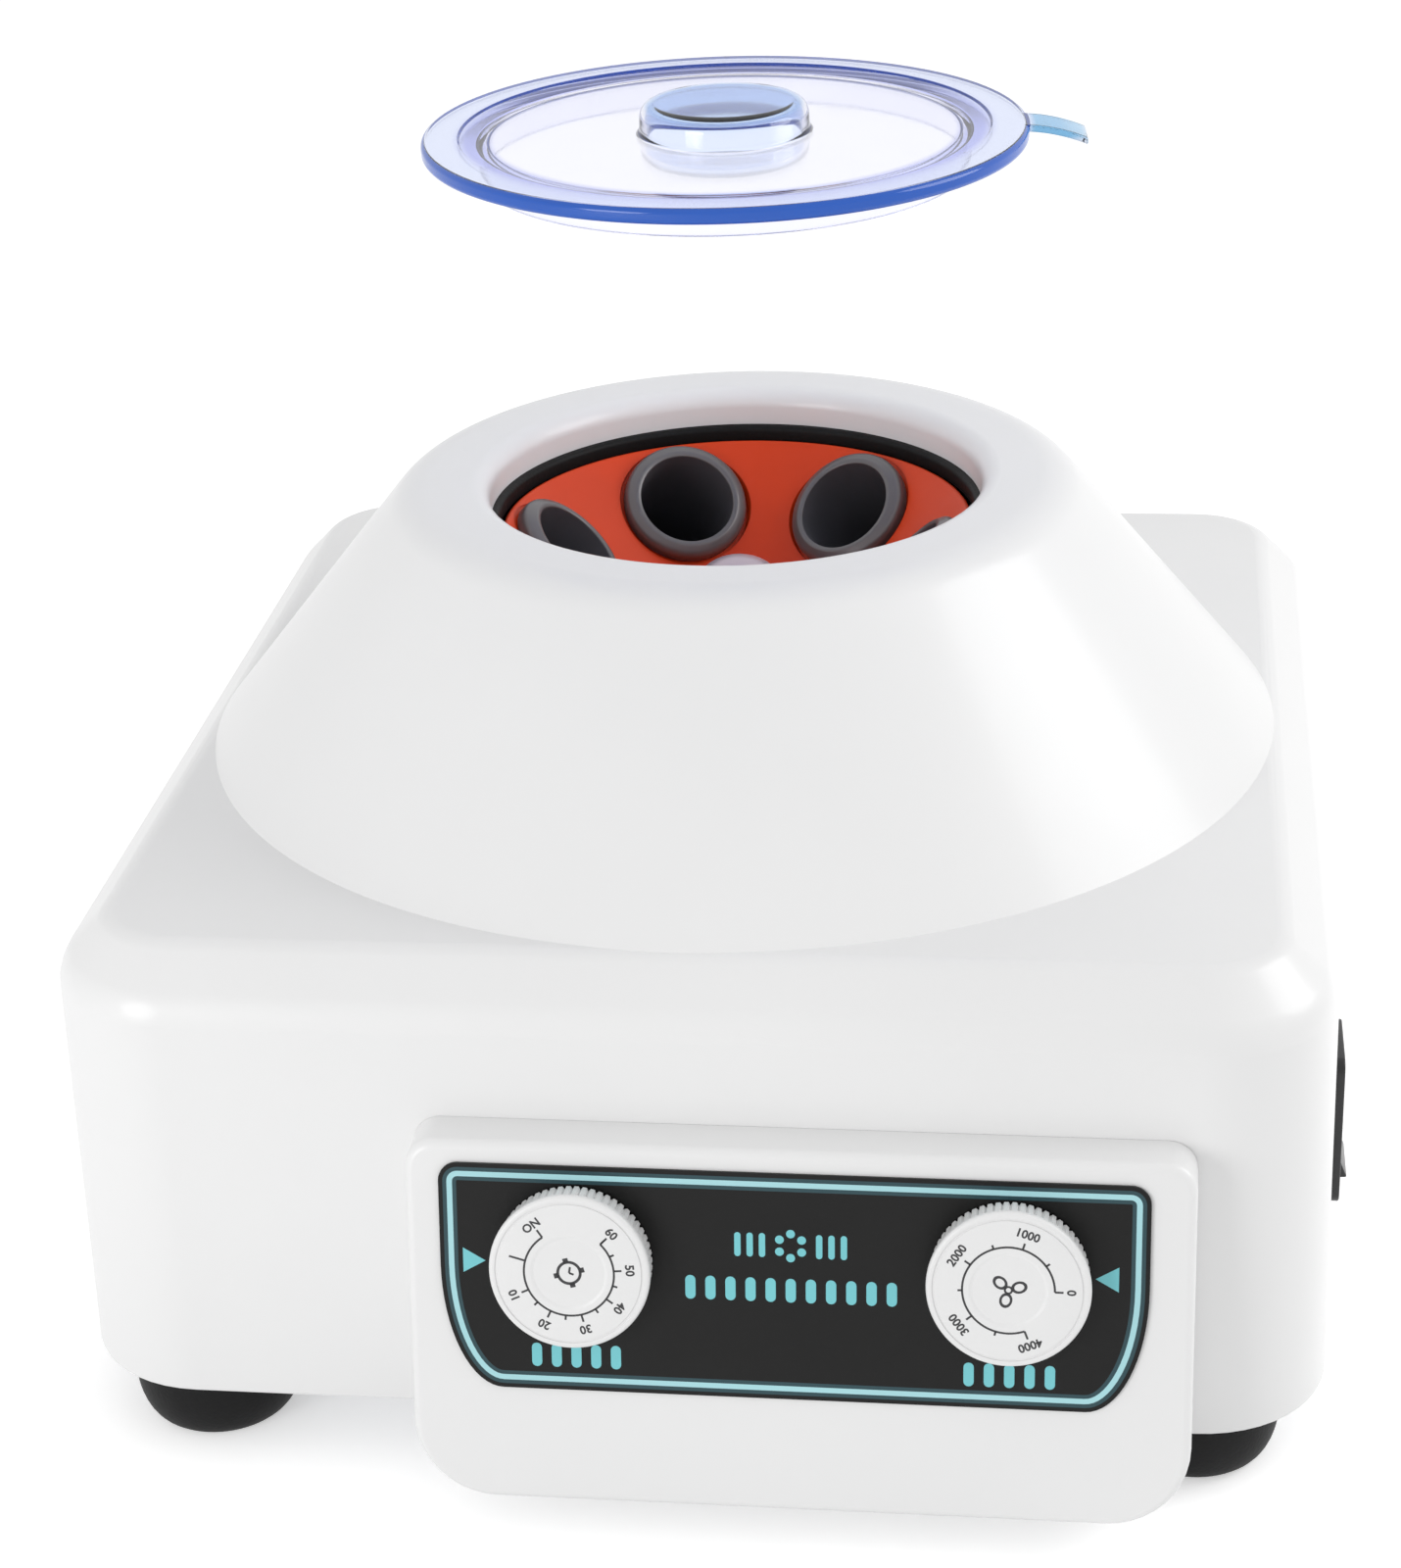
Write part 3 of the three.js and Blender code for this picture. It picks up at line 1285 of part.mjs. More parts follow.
function powerInlet() {
  const flange = throughY(
    roundedOutline(inletFlangeWidth / 2, INLET_FLANGE_HEIGHT / 2, INLET_CORNER),
    INLET_SIDE_OFFSET,
    inletFaceY + INLET_FLANGE_PROUD / 2,
    INLET_Z,
    INLET_FLANGE_PROUD,
  );
  const bodySpan = INLET_BODY_DEPTH + INLET_FLANGE_PROUD / 2;
  const body = block(
    INLET_SIDE_OFFSET,
    inletFaceY + INLET_FLANGE_PROUD / 2 - bodySpan / 2,
    INLET_Z,
    INLET_BODY_WIDTH,
    bodySpan,
    INLET_BODY_HEIGHT,
  );
  const halfX = INLET_BODY_WIDTH / 2 - INLET_WALL;
  const halfZ = INLET_BODY_HEIGHT / 2 - INLET_WALL;
  const socket = throughY(
    [
      [-halfX, halfZ - INLET_CORNER],
      [-halfX, -halfZ],
      [halfX, -halfZ],
      [halfX, halfZ - INLET_CORNER],
      [halfX - INLET_CORNER, halfZ],
      [INLET_CORNER - halfX, halfZ],
    ],
    INLET_SIDE_OFFSET,
    inletFaceY + INLET_FLANGE_PROUD - INLET_SOCKET_DEPTH / 2 + OVERRUN,
    INLET_Z,
    INLET_SOCKET_DEPTH + 2 * OVERRUN,
  );
  const backY = inletFaceY + INLET_FLANGE_PROUD - INLET_SOCKET_DEPTH;
  const blades = [
    [0, INLET_PIN_STEP],
    [-INLET_PIN_SPREAD, -INLET_PIN_STEP / 2],
    [INLET_PIN_SPREAD, -INLET_PIN_STEP / 2],
  ].map(([x, z]) =>
    block(
      INLET_SIDE_OFFSET + x,
      backY - OVERRUN + INLET_PIN_LENGTH / 2,
      INLET_Z + z,
      INLET_PIN_WIDTH,
      INLET_PIN_LENGTH + OVERRUN,
      INLET_PIN_HEIGHT,
    ),
  );
  const screwHoles = inletScrewXs.map((x) =>
    acrossY(x, inletFaceY, INLET_Z, boreFor(INLET_SCREW_R), 2 * INLET_FLANGE_PROUD + OVERRUN),
  );
  return cut(join(cut(join(flange, body), socket), ...blades), ...screwHoles);
}

// Lid: flanged disc with a thin plug ring below, a raised grip and a lifting tab
function lidMoulding() {
  const outerR = openingR + LID_FLANGE;
  const plugR = openingR - LID_PLUG_GAP;
  const plugInnerR = plugR - LID_PLUG_WALL;
  const bandR = plugR + LID_BAND_WIDTH;
  const floorTop = LID_THICKNESS - LID_FLOOR_DROP;
  const floorLow = floorTop - LID_FLOOR_THICKNESS;
  const gripTop = LID_THICKNESS + LID_GRIP_RISE;
  const disc = turned(
    [
      [0, floorLow],
      [plugInnerR, floorLow],
      [plugInnerR, -LID_PLUG_DEPTH],
      [plugR, -LID_PLUG_DEPTH],
      [plugR, 0],
      [outerR - LID_EDGE_ROUND, 0],
      [outerR, LID_EDGE_ROUND],
      ...arc(
        outerR - LID_EDGE_ROUND,
        LID_THICKNESS - LID_EDGE_ROUND,
        LID_EDGE_ROUND,
        0,
        Math.PI / 2,
        EDGE_STEPS,
      ),
      [bandR, LID_THICKNESS],
      [bandR, LID_THICKNESS - LID_BAND_STEP],
      [plugInnerR, floorTop],
      [LID_GRIP_R, floorTop],
      ...arc(
        LID_GRIP_R - LID_GRIP_EASE,
        gripTop - LID_GRIP_EASE,
        LID_GRIP_EASE,
        0,
        Math.PI / 2,
        EDGE_STEPS,
      ),
      [0, gripTop],
    ],
    LID_STEPS,
  );
  const rootX = outerR - 2 * LID_EDGE_ROUND;
  const length = LID_TAB_LENGTH + 2 * LID_EDGE_ROUND;
  const droop = (share) => LID_THICKNESS - LID_TAB_DROOP * share ** 2;
  const shares = Array.from({ length: LID_TAB_STEPS + 1 }, (_, i) => i / LID_TAB_STEPS);
  const under = shares.map((share) => [rootX + length * share, droop(share) - LID_TAB_THICKNESS]);
  const over = shares.map((share) => [rootX + length * share, droop(share)]).reverse();
  const tab = throughY([...under, ...over], 0, 0, 0, LID_TAB_WIDTH).rotate([
    0,
    0,
    THREE.MathUtils.radToDeg(LID_TAB_TURN),
  ]);
  return join(disc, tab);
}

// The machine, built up as a scene
const machine = new THREE.Group();
const place = (mesh, x, y, z) => {
  mesh.position.set(x, y, z);
  return mesh;
};

machine.add(piece("housing_shell", housingShell(), finishes.whiteShell));
machine.add(piece("base_plate", basePlate(), finishes.zincSteel));
machine.add(piece("guard_bowl", guardBowl(), finishes.darkSteel).translateY(spindleY));
machine.add(piece("opening_trim", openingTrim(), finishes.blackTrim).translateY(spindleY));

// Feet, their screws and the pillars, named by corner
const cornerName = ([sideX, sideY]) =>
  `${sideY < 0 ? "front" : "rear"}_${sideX < 0 ? "left" : "right"}`;
for (const corner of quarters) {
  const [x, y] = [corner[0] * footX, corner[1] * footY];
  const screw = panScrew(
    SCREW_R,
    FOOT_HEIGHT - FOOT_RECESS_DEPTH + PLATE_THICKNESS + SCREW_GRIP,
    SCREW_HEAD_R,
    SCREW_HEAD_HEIGHT,
  );
  machine.add(place(piece(`foot_${cornerName(corner)}`, rubberFoot(), finishes.footRubber), x, y, 0));
  machine.add(
    place(
      piece(`foot_screw_${cornerName(corner)}`, screw, finishes.zincSteel),
      x,
      y,
      FOOT_RECESS_DEPTH - SEAT,
    ),
  );
  const pillarShift = PILLAR_RING_R * Math.SQRT1_2;
  const pillar = upright(0, 0, plateTopZ + SEAT, bowlFloorZ - SEAT, PILLAR_R);
  machine.add(
    place(
      piece(`bowl_pillar_${cornerName(corner)}`, pillar, finishes.zincSteel),
      corner[0] * pillarShift,
      spindleY + corner[1] * pillarShift,
      0,
    ),
  );
}

// Motor and board on the base plate
const motor = new THREE.Group();
motor.position.y = spindleY;
motor.add(piece("motor_can", motorCan(), finishes.darkSteel));
motor.add(piece("motor_plate", motorPlate(), finishes.zincSteel));
motor.add(
  piece("motor_bearing_upper", bearing(motorBossTopZ - BEARING_HEIGHT), finishes.zincSteel),
);
motor.add(piece("motor_bearing_lower", bearing(motorBaseZ), finishes.zincSteel));
damperSpots.forEach(([x, y], i) => {
  const mount = piece(`motor_damper_${i + 1}`, damper(), finishes.footRubber);
  motor.add(place(mount, x, y, plateTopZ + SEAT));
});
machine.add(motor);
machine.add(piece("control_board", controlBoard(), finishes.boardGreen));

// Rotor on the spindle
const rotor = new THREE.Group();
rotor.position.y = spindleY;
rotor.add(piece("rotor_dish", rotorDish(), finishes.orangeRotor));
rotor.add(piece("rotor_hub", rotorHub(), finishes.zincSteel));
rotor.add(piece("rotor_nut", rotorNut(), finishes.nutGrey));
rotor.add(
  piece("motor_shaft", upright(0, 0, motorBaseZ, shaftTopZ, SHAFT_R), finishes.zincSteel),
);
for (const i of sleeveIndexes) {
  const mesh = piece(`tube_sleeve_${i + 1}`, sleeve(), finishes.greySleeve);
  mesh.applyMatrix4(sleeveFrame(i));
  rotor.add(mesh);
}
machine.add(rotor);

// Control housing, its screws and all that stands on the leaning panel
machine.add(piece("control_housing", controlHousing(), finishes.whiteShell));
housingScrewXs.forEach((x, i) => {
  const length = WALL + SCREW_GRIP / 2;
  const screw = panScrew(SCREW_R, length, SCREW_HEAD_R, SCREW_HEAD_HEIGHT);
  const mesh = piece(`housing_screw_${i ? "right" : "left"}`, screw, finishes.zincSteel);
  mesh.rotation.x = Math.PI / 2;
  const seatY = draftAt(housingScrewZ) - baseHalfY + WALL + FIT;
  machine.add(place(mesh, x, seatY, housingScrewZ));
});

const panel = new THREE.Group();
panel.applyMatrix4(panelFrame);
const onDial = (name, body, finish, x) =>
  panel.add(place(piece(name, body, finish), x, -DIAL_DROP, 0));
panel.add(piece("label_plate", labelPlate(), finishes.labelBlack));
onDial("timer_unit", timerUnit(), finishes.timerCase, timerX);
onDial("timer_nut", bushNut(), finishes.brass, timerX);
onDial("timer_shaft", dialShaft(TIMER_DEPTH / 2), finishes.brass, timerX);
onDial("timer_knob", dialKnob(), finishes.knobWhite, timerX);
onDial("speed_potentiometer", potentiometer(), finishes.zincSteel, speedX);
onDial("speed_nut", bushNut(), finishes.brass, speedX);
onDial("speed_shaft", dialShaft(POT_DEPTH / 2), finishes.brass, speedX);
onDial("speed_knob", dialKnob(), finishes.knobWhite, speedX);
machine.add(panel);

// Switch and inlet
machine.add(piece("switch_frame", switchFrame(), finishes.switchBlack));
const rocker = piece("power_rocker", powerRocker(), finishes.switchBlack);
rocker.rotation.y = -ROCKER_TILT;
machine.add(place(rocker, pinX, switchY, SWITCH_Z));
machine.add(piece("power_inlet", powerInlet(), finishes.switchBlack));
inletScrewXs.forEach((x, i) => {
  const screw = panScrew(
    INLET_SCREW_R,
    INLET_SCREW_LENGTH,
    INLET_SCREW_HEAD_R,
    INLET_SCREW_HEAD_HEIGHT,
  );
  const mesh = piece(`inlet_screw_${i ? "right" : "left"}`, screw, finishes.zincSteel);
  mesh.rotation.x = Math.PI / 2;
  machine.add(place(mesh, x, inletFaceY + INLET_FLANGE_PROUD + SEAT, INLET_Z));
});

// Lid, held above its seat on the rim
const lid = piece("lid", lidMoulding(), finishes.lidBlue);
machine.add(place(lid, 0, spindleY, rimZ + SEAT + LID_LIFT));

// Stand the machine with the middle of its box over the origin
const box = new THREE.Box3().setFromObject(machine);
machine.position.set(-(box.min.x + box.max.x) / 2, -(box.min.y + box.max.y) / 2, -box.min.z);

const centrifuge = new THREE.Group();
centrifuge.add(machine);
export default centrifuge;
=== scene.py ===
import contextlib
import json
import math

import bmesh
import bpy
from bpy.props import FloatProperty, FloatVectorProperty, IntProperty, PointerProperty
from mathutils import Matrix, Vector

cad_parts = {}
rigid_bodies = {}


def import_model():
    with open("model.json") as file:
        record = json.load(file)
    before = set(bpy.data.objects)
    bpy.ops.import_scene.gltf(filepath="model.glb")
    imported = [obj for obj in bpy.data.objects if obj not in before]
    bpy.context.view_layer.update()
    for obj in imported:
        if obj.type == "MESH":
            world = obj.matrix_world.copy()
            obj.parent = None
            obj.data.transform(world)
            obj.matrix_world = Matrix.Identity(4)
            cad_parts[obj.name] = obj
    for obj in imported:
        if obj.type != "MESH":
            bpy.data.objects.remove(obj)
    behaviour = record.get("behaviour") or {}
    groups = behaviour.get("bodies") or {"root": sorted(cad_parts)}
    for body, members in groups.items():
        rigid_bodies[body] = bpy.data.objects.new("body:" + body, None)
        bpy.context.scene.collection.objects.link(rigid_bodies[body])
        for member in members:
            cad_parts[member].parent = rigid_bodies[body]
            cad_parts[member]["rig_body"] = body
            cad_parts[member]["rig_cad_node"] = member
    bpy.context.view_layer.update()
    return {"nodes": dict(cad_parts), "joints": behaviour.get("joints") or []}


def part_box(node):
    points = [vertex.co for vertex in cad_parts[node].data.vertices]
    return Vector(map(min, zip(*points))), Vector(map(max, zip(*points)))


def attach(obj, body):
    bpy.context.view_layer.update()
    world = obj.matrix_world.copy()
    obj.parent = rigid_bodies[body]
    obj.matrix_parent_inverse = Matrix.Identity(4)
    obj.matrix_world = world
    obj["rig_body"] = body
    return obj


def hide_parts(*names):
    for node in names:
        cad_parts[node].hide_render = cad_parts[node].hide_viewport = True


bl_info = {
    "name": "Benchtop Centrifuge Looks",
    "version": (1, 0, 0),
    "blender": (4, 5, 0),
    "location": "View3D > Sidebar > Centrifuge",
    "description": "Models the visible pieces of a benchtop centrifuge around its frame",
    "category": "Object",
}

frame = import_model()

TURN = 2 * math.pi
QUARTER = math.pi / 2
RIGHT, BACK, UP = Vector((1, 0, 0)), Vector((0, 1, 0)), Vector((0, 0, 1))
ORIGIN = Vector((0, 0, 0))
# Sizes nearer than TOUCH are one, and vertices nearer than DOUBLE merge
TOUCH = 1e-5
DOUBLE = 1e-6
# Gap between two faces that would else lie in one plane
STAND_OFF = 0.0001
# Share of a bar's width that rounds its ends, just short of half
PILL_END = 0.49

# Places that the frame gives: the spindle, the shell, the dials and the sleeves
NODES = frame["nodes"]
JOINTS = {joint["name"]: joint for joint in frame["joints"]}
SPINDLE = Vector(JOINTS["rotor_spin"]["pos_m"]) * Vector((1, 1, 0))
SHELL_LOW, SHELL_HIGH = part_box("housing_shell")
RIM_Z = SHELL_HIGH.z
FOOT_CORNERS = ("front_left", "front_right", "rear_left", "rear_right")
SLEEVES = range(1, 7)
DIAL_OUT = -Vector(JOINTS["timer_turn"]["axis"]).normalized()
DIAL_UP = DIAL_OUT.cross(RIGHT)
TIMER_FACE = Vector(JOINTS["timer_turn"]["pos_m"])
SPEED_FACE = Vector(JOINTS["speed_turn"]["pos_m"])

# Bars on the label: x and y of the middle, number, pitch, width and height
LABEL_BARS = (
    (-0.0083, 0.0046, 3, 0.0025, 0.0013, 0.0052),
    (0.0083, 0.0046, 3, 0.0025, 0.0013, 0.0052),
    (0, -0.0051, 11, 0.0041, 0.0021, 0.0052),
    (-0.0443, -0.0214, 5, 0.0041, 0.0021, 0.0052),
    (0.0443, -0.0218, 5, 0.0041, 0.0021, 0.0052),
)
# Pointers on the label: x, y and the way they turn
LABEL_POINTERS = ((-0.0658, -0.0011, -QUARTER), (0.0644, 0, QUARTER))

# Where the camera stands, which way it looks, its right-hand side and its sensor in mm
CAMERA_PLACE = Vector((0.09023, -0.73429, 0.44727))
CAMERA_FORWARD = Vector((-0.12485, 0.89768, -0.42259)).normalized()
CAMERA_RIGHT = Vector((0.99195, 0.12209, -0.03371))
SENSOR = 36
# Lamps: place, target and size
LAMPS = {
    "key": ((-0.75, -1.1, 0.35), (0, -0.05, 0.1), 0.6),
    "side": ((0.62, 0.05, 0.48), (0.03, 0, 0.13), 0.45),
}


def linear(*levels):
    """Colour levels of 0 to 255, as written on a screen, as linear values."""
    shares = [level / 255 for level in levels]
    return tuple(s / 12.92 if s <= 0.04045 else ((s + 0.055) / 1.055) ** 2.4 for s in shares)


DUST = (0.45, 0.44, 0.42, 1)
WHITE = (1.0, 1.0, 1.0, 1.0)
ZINC_TONE = linear(190, 192, 196)


def length(name, default, description):
    """A size in metres."""
    return FloatProperty(
        name=name, description=description, default=default, min=0, unit="LENGTH", precision=5
    )


def angle_of(name, degrees, description):
    """An angle, given in degrees."""
    return FloatProperty(
        name=name, description=description, default=math.radians(degrees), subtype="ANGLE"
    )


def colour(name, default, description):
    """A plain colour."""
    return FloatVectorProperty(
        name=name, description=description, default=default, min=0, max=1, size=3, subtype="COLOR"
    )


def count(name, default, description):
    """A number of like features."""
    return IntProperty(name=name, description=description, default=default, min=1)


def strength(name, default, description):
    """A strength of light, or a focal length in millimetres."""
    return FloatProperty(name=name, description=description, default=default, min=0)


# Places and directions


def frame_matrix(origin, right, up, out):
    """A matrix from a place's own axes to the row frame."""
    return Matrix.Translation(origin) @ Matrix((right, up, out)).transposed().to_4x4()


def moved(x=0.0, y=0.0, z=0.0):
    """A move along the three axes."""
    return Matrix.Translation((x, y, z))


def turned(angle, axis="Z"):
    """A turn about an axis."""
    return Matrix.Rotation(angle, 4, axis)


def about_spindle(angle):
    """A turn about Z that is then set on the spindle."""
    return Matrix.Translation(SPINDLE) @ turned(angle)


def middle_of(node_name):
    """The middle of a frame node's box."""
    low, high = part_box(node_name)
    return (low + high) / 2


# Modelling by the same operators as by hand


def clear():
    """Leave edit mode and select nothing."""
    if bpy.context.mode != "OBJECT":
        bpy.ops.object.mode_set(mode="OBJECT")
    bpy.ops.object.select_all(action="DESELECT")


def only(piece):
    """Select one piece and make it active."""
    clear()
    piece.select_set(True)
    bpy.context.view_layer.objects.active = piece


def apply_place():
    """Put the selected piece's place into its mesh."""
    bpy.ops.object.transform_apply(location=True, rotation=True, scale=True)


def start(name, add, **settings):
    """A new primitive whose place is put into its mesh."""
    clear()
    add(**settings)
    piece = bpy.context.object
    piece.name = piece.data.name = name
    apply_place()
    return piece


def cube(name, low, high):
    """A box between two corners."""
    low, high = Vector(low), Vector(high)
    middle = (low + high) / 2
    add = bpy.ops.mesh.primitive_cube_add
    return start(name, add, size=1, location=middle, scale=high - low)


def rod(name, radius, foot, top, steps=48):
    """An upright cylinder from the point of its foot up to a height."""
    middle = Vector((foot[0], foot[1], (foot[2] + top) / 2))
    add = bpy.ops.mesh.primitive_cylinder_add
    depth = top - foot[2]
    return start(name, add, vertices=steps, radius=radius, depth=depth, location=middle)


def seat(piece, place):
    """Move a piece by a matrix that goes into its mesh."""
    only(piece)
    piece.matrix_world = place
    apply_place()
    return piece


def card(name, width, height):
    """A flat rectangle in the XY plane, with its size in its mesh."""
    piece = start(name, bpy.ops.mesh.primitive_plane_add, size=1)
    return seat(piece, Matrix.Diagonal((width, height, 1, 1)))


def copied(piece, name, place):
    """A copy with its own mesh, set elsewhere."""
    twin = piece.copy()
    twin.data = piece.data.copy()
    twin.name = twin.data.name = name
    bpy.context.scene.collection.objects.link(twin)
    return seat(twin, place)


def joined(pieces):
    """Several pieces as one object."""
    clear()
    for piece in pieces:
        piece.select_set(True)
    bpy.context.view_layer.objects.active = pieces[0]
    bpy.ops.object.join()
    return pieces[0]


@contextlib.contextmanager
def editing(piece):
    """Edit mode with nothing selected."""
    only(piece)
    bpy.ops.object.mode_set(mode="EDIT")
    bpy.ops.mesh.select_mode(type="VERT")
    bpy.ops.mesh.select_all(action="DESELECT")
    yield
    bpy.ops.object.mode_set(mode="OBJECT")


def pick(kind, test):
    """Select the vertices, edges or faces that pass a test, and nothing else."""
    bpy.ops.mesh.select_mode(type=kind)
    bpy.ops.mesh.select_all(action="DESELECT")
    mesh = bpy.context.object.data
    found = bmesh.from_edit_mesh(mesh)
    for part in {"VERT": found.verts, "EDGE": found.edges, "FACE": found.faces}[kind]:
        if test(part):
            part.select_set(True)
    found.select_flush_mode()
    bmesh.update_edit_mesh(mesh)


def pick_all():
    """Select the whole mesh."""
    bpy.ops.mesh.select_all(action="SELECT")


def near(value, target):
    """Whether two sizes are one."""
    return abs(value - target) < TOUCH


def level_edge(z):
    """A test for edges that lie at one height."""
    return lambda edge: all(near(vert.co.z, z) for vert in edge.verts)


def upright_edge(edge):
    """A test for edges that run up and down."""
    first, last = (vert.co for vert in edge.verts)
    return (first - last).to_2d().length < TOUCH


def bevel(offset, segments, affect="EDGES"):
    """Round what is selected."""
    bpy.ops.mesh.bevel(
        offset_type="OFFSET", offset=offset, segments=segments, affect=affect,
        clamp_overlap=False,
    )


def push(move):
    """Extrude what is selected."""
    bpy.ops.mesh.extrude_region_move(TRANSFORM_OT_translate={"value": move})


def merge_doubles(reach=DOUBLE):
    """Select the whole mesh and merge the vertices that lie on one another."""
    pick_all()
    bpy.ops.mesh.remove_doubles(threshold=reach)


def tidy(piece):
    """Merge doubles and turn every face outwards."""
    with editing(piece):
        merge_doubles()
        bpy.ops.mesh.normals_make_consistent(inside=False)
    return piece


def modify(piece, kind, **settings):
    """Add a modifier and apply it."""
    only(piece)
    modifier = piece.modifiers.new(kind.title(), kind)
    for key, value in settings.items():
        setattr(modifier, key, value)
    bpy.ops.object.modifier_apply(modifier=modifier.name)
    return piece


def combine(piece, operation, tools):
    """Join or cut a piece with tools, which are used up."""
    tool = joined(tools) if len(tools) > 1 else tools[0]
    modify(piece, "BOOLEAN", operation=operation, object=tool, solver="EXACT")
    bpy.data.objects.remove(tool)
    return piece


def cut(piece, *tools):
    """Take tools away from a piece."""
    return combine(piece, "DIFFERENCE", tools)


def unite(piece, *tools):
    """Make tools and a piece one body."""
    return combine(piece, "UNION", tools)


def eased(piece, width, segments=3):
    """Round the sharp edges of a finished shape."""
    return modify(
        piece,
        "BEVEL",
        width=width,
        segments=segments,
        limit_method="ANGLE",
        angle_limit=math.radians(30),
        use_clamp_overlap=True,
    )


def curve_points(centre_r, centre_z, radius, low, high, steps):
    """Points of an arc in a turned section, angles in radians."""
    angles = [low + (high - low) * i / steps for i in range(steps + 1)]
    return [(centre_r + radius * math.cos(a), centre_z + radius * math.sin(a)) for a in angles]


def softened(corners, steps=4, closed=True):
    """A section whose corners, given as r, z and a radius, are rounded."""
    points = []
    total = len(corners)
    for i, corner in enumerate(corners):
        here = Vector(corner[:2])
        radius = corner[2] if len(corner) > 2 else 0
        if not radius or not (closed or 0 < i < total - 1):
            points.append(tuple(here))
            continue
        before = (Vector(corners[i - 1][:2]) - here).normalized()
        after = (Vector(corners[(i + 1) % total][:2]) - here).normalized()
        half = before.angle(after) / 2
        reach = radius / math.tan(half)
        centre = here + (before + after).normalized() * (radius / math.sin(half))
        first = here + before * reach - centre
        last = here + after * reach - centre
        sweep = first.angle_signed(last)
        for step in range(steps + 1):
            spoke = first.copy()
            spoke.rotate(Matrix.Rotation(-sweep * step / steps, 2))
            points.append(tuple(centre + spoke))
    return points


def drawn(name, section, centre, closed):
    """A wire through points r, z of the XZ plane, drawn point by point."""
    first = Vector((section[0][0], 0, section[0][1])) + centre
    piece = start(name, bpy.ops.mesh.primitive_plane_add, size=0.001, location=first)
    with editing(piece):
        pick_all()
        bpy.ops.mesh.merge(type="CENTER")
        points = [*section, section[0]] if closed else section
        for before, after in zip(points, points[1:]):
            move = (after[0] - before[0], 0, after[1] - before[1])
            bpy.ops.mesh.extrude_vertices_move(TRANSFORM_OT_translate={"value": move})
        merge_doubles()
    return piece


def spun(name, section, steps, centre=SPINDLE, closed=True):
    """A turned piece: a section of r, z points, spun about an upright axis."""
    piece = drawn(name, section, centre, closed)
    with editing(piece):
        pick_all()
        bpy.ops.mesh.spin(steps=steps, angle=TURN, center=centre, axis=UP)
    return tidy(piece)


def plated(name, section, thickness):
    """A flat plate with an outline of x, z points, centred on the XZ plane."""
    piece = drawn(name, section, Vector((0, -thickness / 2, 0)), True)
    with editing(piece):
        pick_all()
        bpy.ops.mesh.edge_face_add()
        push((0, thickness, 0))
    return tidy(piece)


def outlined(name, width, height, low_r, high_r, depth, segments=8):
    """A flat plate about the origin with two corner radii, pushed up from the XY plane."""
    piece = card(name, width, height)
    with editing(piece):
        for side, radius in ((-1, low_r), (1, high_r)):
            pick("VERT", lambda vert, side=side: near(vert.co.y, side * height / 2))
            bevel(radius, segments, "VERTICES")
        pick_all()
        push((0, 0, depth))
    return tidy(piece)


def pill(name, width, height, depth, segments=8):
    """A flat plate whose short ends are all but half round."""
    end = min(width, height) * PILL_END
    return outlined(name, width, height, end, end, depth, segments)


def lettering(name, body, size, place, depth, weight):
    """Flat raised text, made a mesh before it is placed."""
    clear()
    bpy.ops.object.text_add()
    piece = bpy.context.object
    piece.name = name
    text = piece.data
    text.body, text.size = body, size
    text.align_x = text.align_y = "CENTER"
    text.extrude, text.offset = depth / 2, weight
    text.resolution_u = 3
    bpy.ops.object.convert(target="MESH")
    return seat(bpy.context.object, place)


def dressed(piece, body, materials=(), replaces=(), angle=30, flats=False):
    """Smooth a finished piece, give it its finish and let it ride on its body."""
    only(piece)
    bpy.ops.object.shade_smooth_by_angle(angle=math.radians(angle))
    if flats:
        modify(piece, "WEIGHTED_NORMAL", keep_sharp=True)
    if materials:
        piece.data.materials.clear()
        for material in materials:
            piece.data.materials.append(material)
    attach(piece, body)
    if replaces:
        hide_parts(*replaces)
    return piece


# Nodes


def feed(tree, made, values):
    """Set a node's inputs, or link what feeds them."""
    for key, value in values.items():
        if isinstance(value, bpy.types.NodeSocket):
            tree.links.new(value, made.inputs[key])
        else:
            made.inputs[key].default_value = value
    return made


def node(tree, kind, values=None, **settings):
    """A shader node with its settings, its values and what feeds it."""
    made = tree.nodes.new(f"ShaderNode{kind}")
    for key, value in settings.items():
        setattr(made, key, value)
    return feed(tree, made, values or {})


def sum_of(tree, operation, first, second):
    """The result of one sum of two numbers."""
    return node(tree, "Math", {0: first, 1: second}, operation=operation).outputs["Value"]


def blend(tree, share, low, high):
    """A colour between two colours."""
    return node(tree, "Mix", {0: share, 6: low, 7: high}, data_type="RGBA").outputs[2]


def noise(tree, place, scale, detail):
    """Cloudy noise at a place."""
    values = {"Vector": place, "Scale": scale, "Detail": detail}
    return node(tree, "TexNoise", values).outputs["Fac"]


def mapped(tree, value, **ends):
    """A value carried from one range to another, with the ends that aren't 0 and 1."""
    values = {"Value": value, **{key.replace("_", " "): end for key, end in ends.items()}}
    return node(tree, "MapRange", values).outputs["Result"]


def reach_of(tree, place):
    """Distance of a place from the Z axis."""
    flat = node(tree, "VectorMath", {0: place, 1: (1.0, 1.0, 0.0)}, operation="MULTIPLY")
    reach = node(tree, "VectorMath", {0: flat.outputs["Vector"]}, operation="LENGTH")
    return reach.outputs["Value"]


def place_of(tree, centre=None):
    """Object coordinates, about a centre if there is one."""
    place = node(tree, "TexCoord").outputs["Object"]
    if centre is None:
        return place
    return node(tree, "Mapping", {"Vector": place, "Location": -centre}).outputs["Vector"]


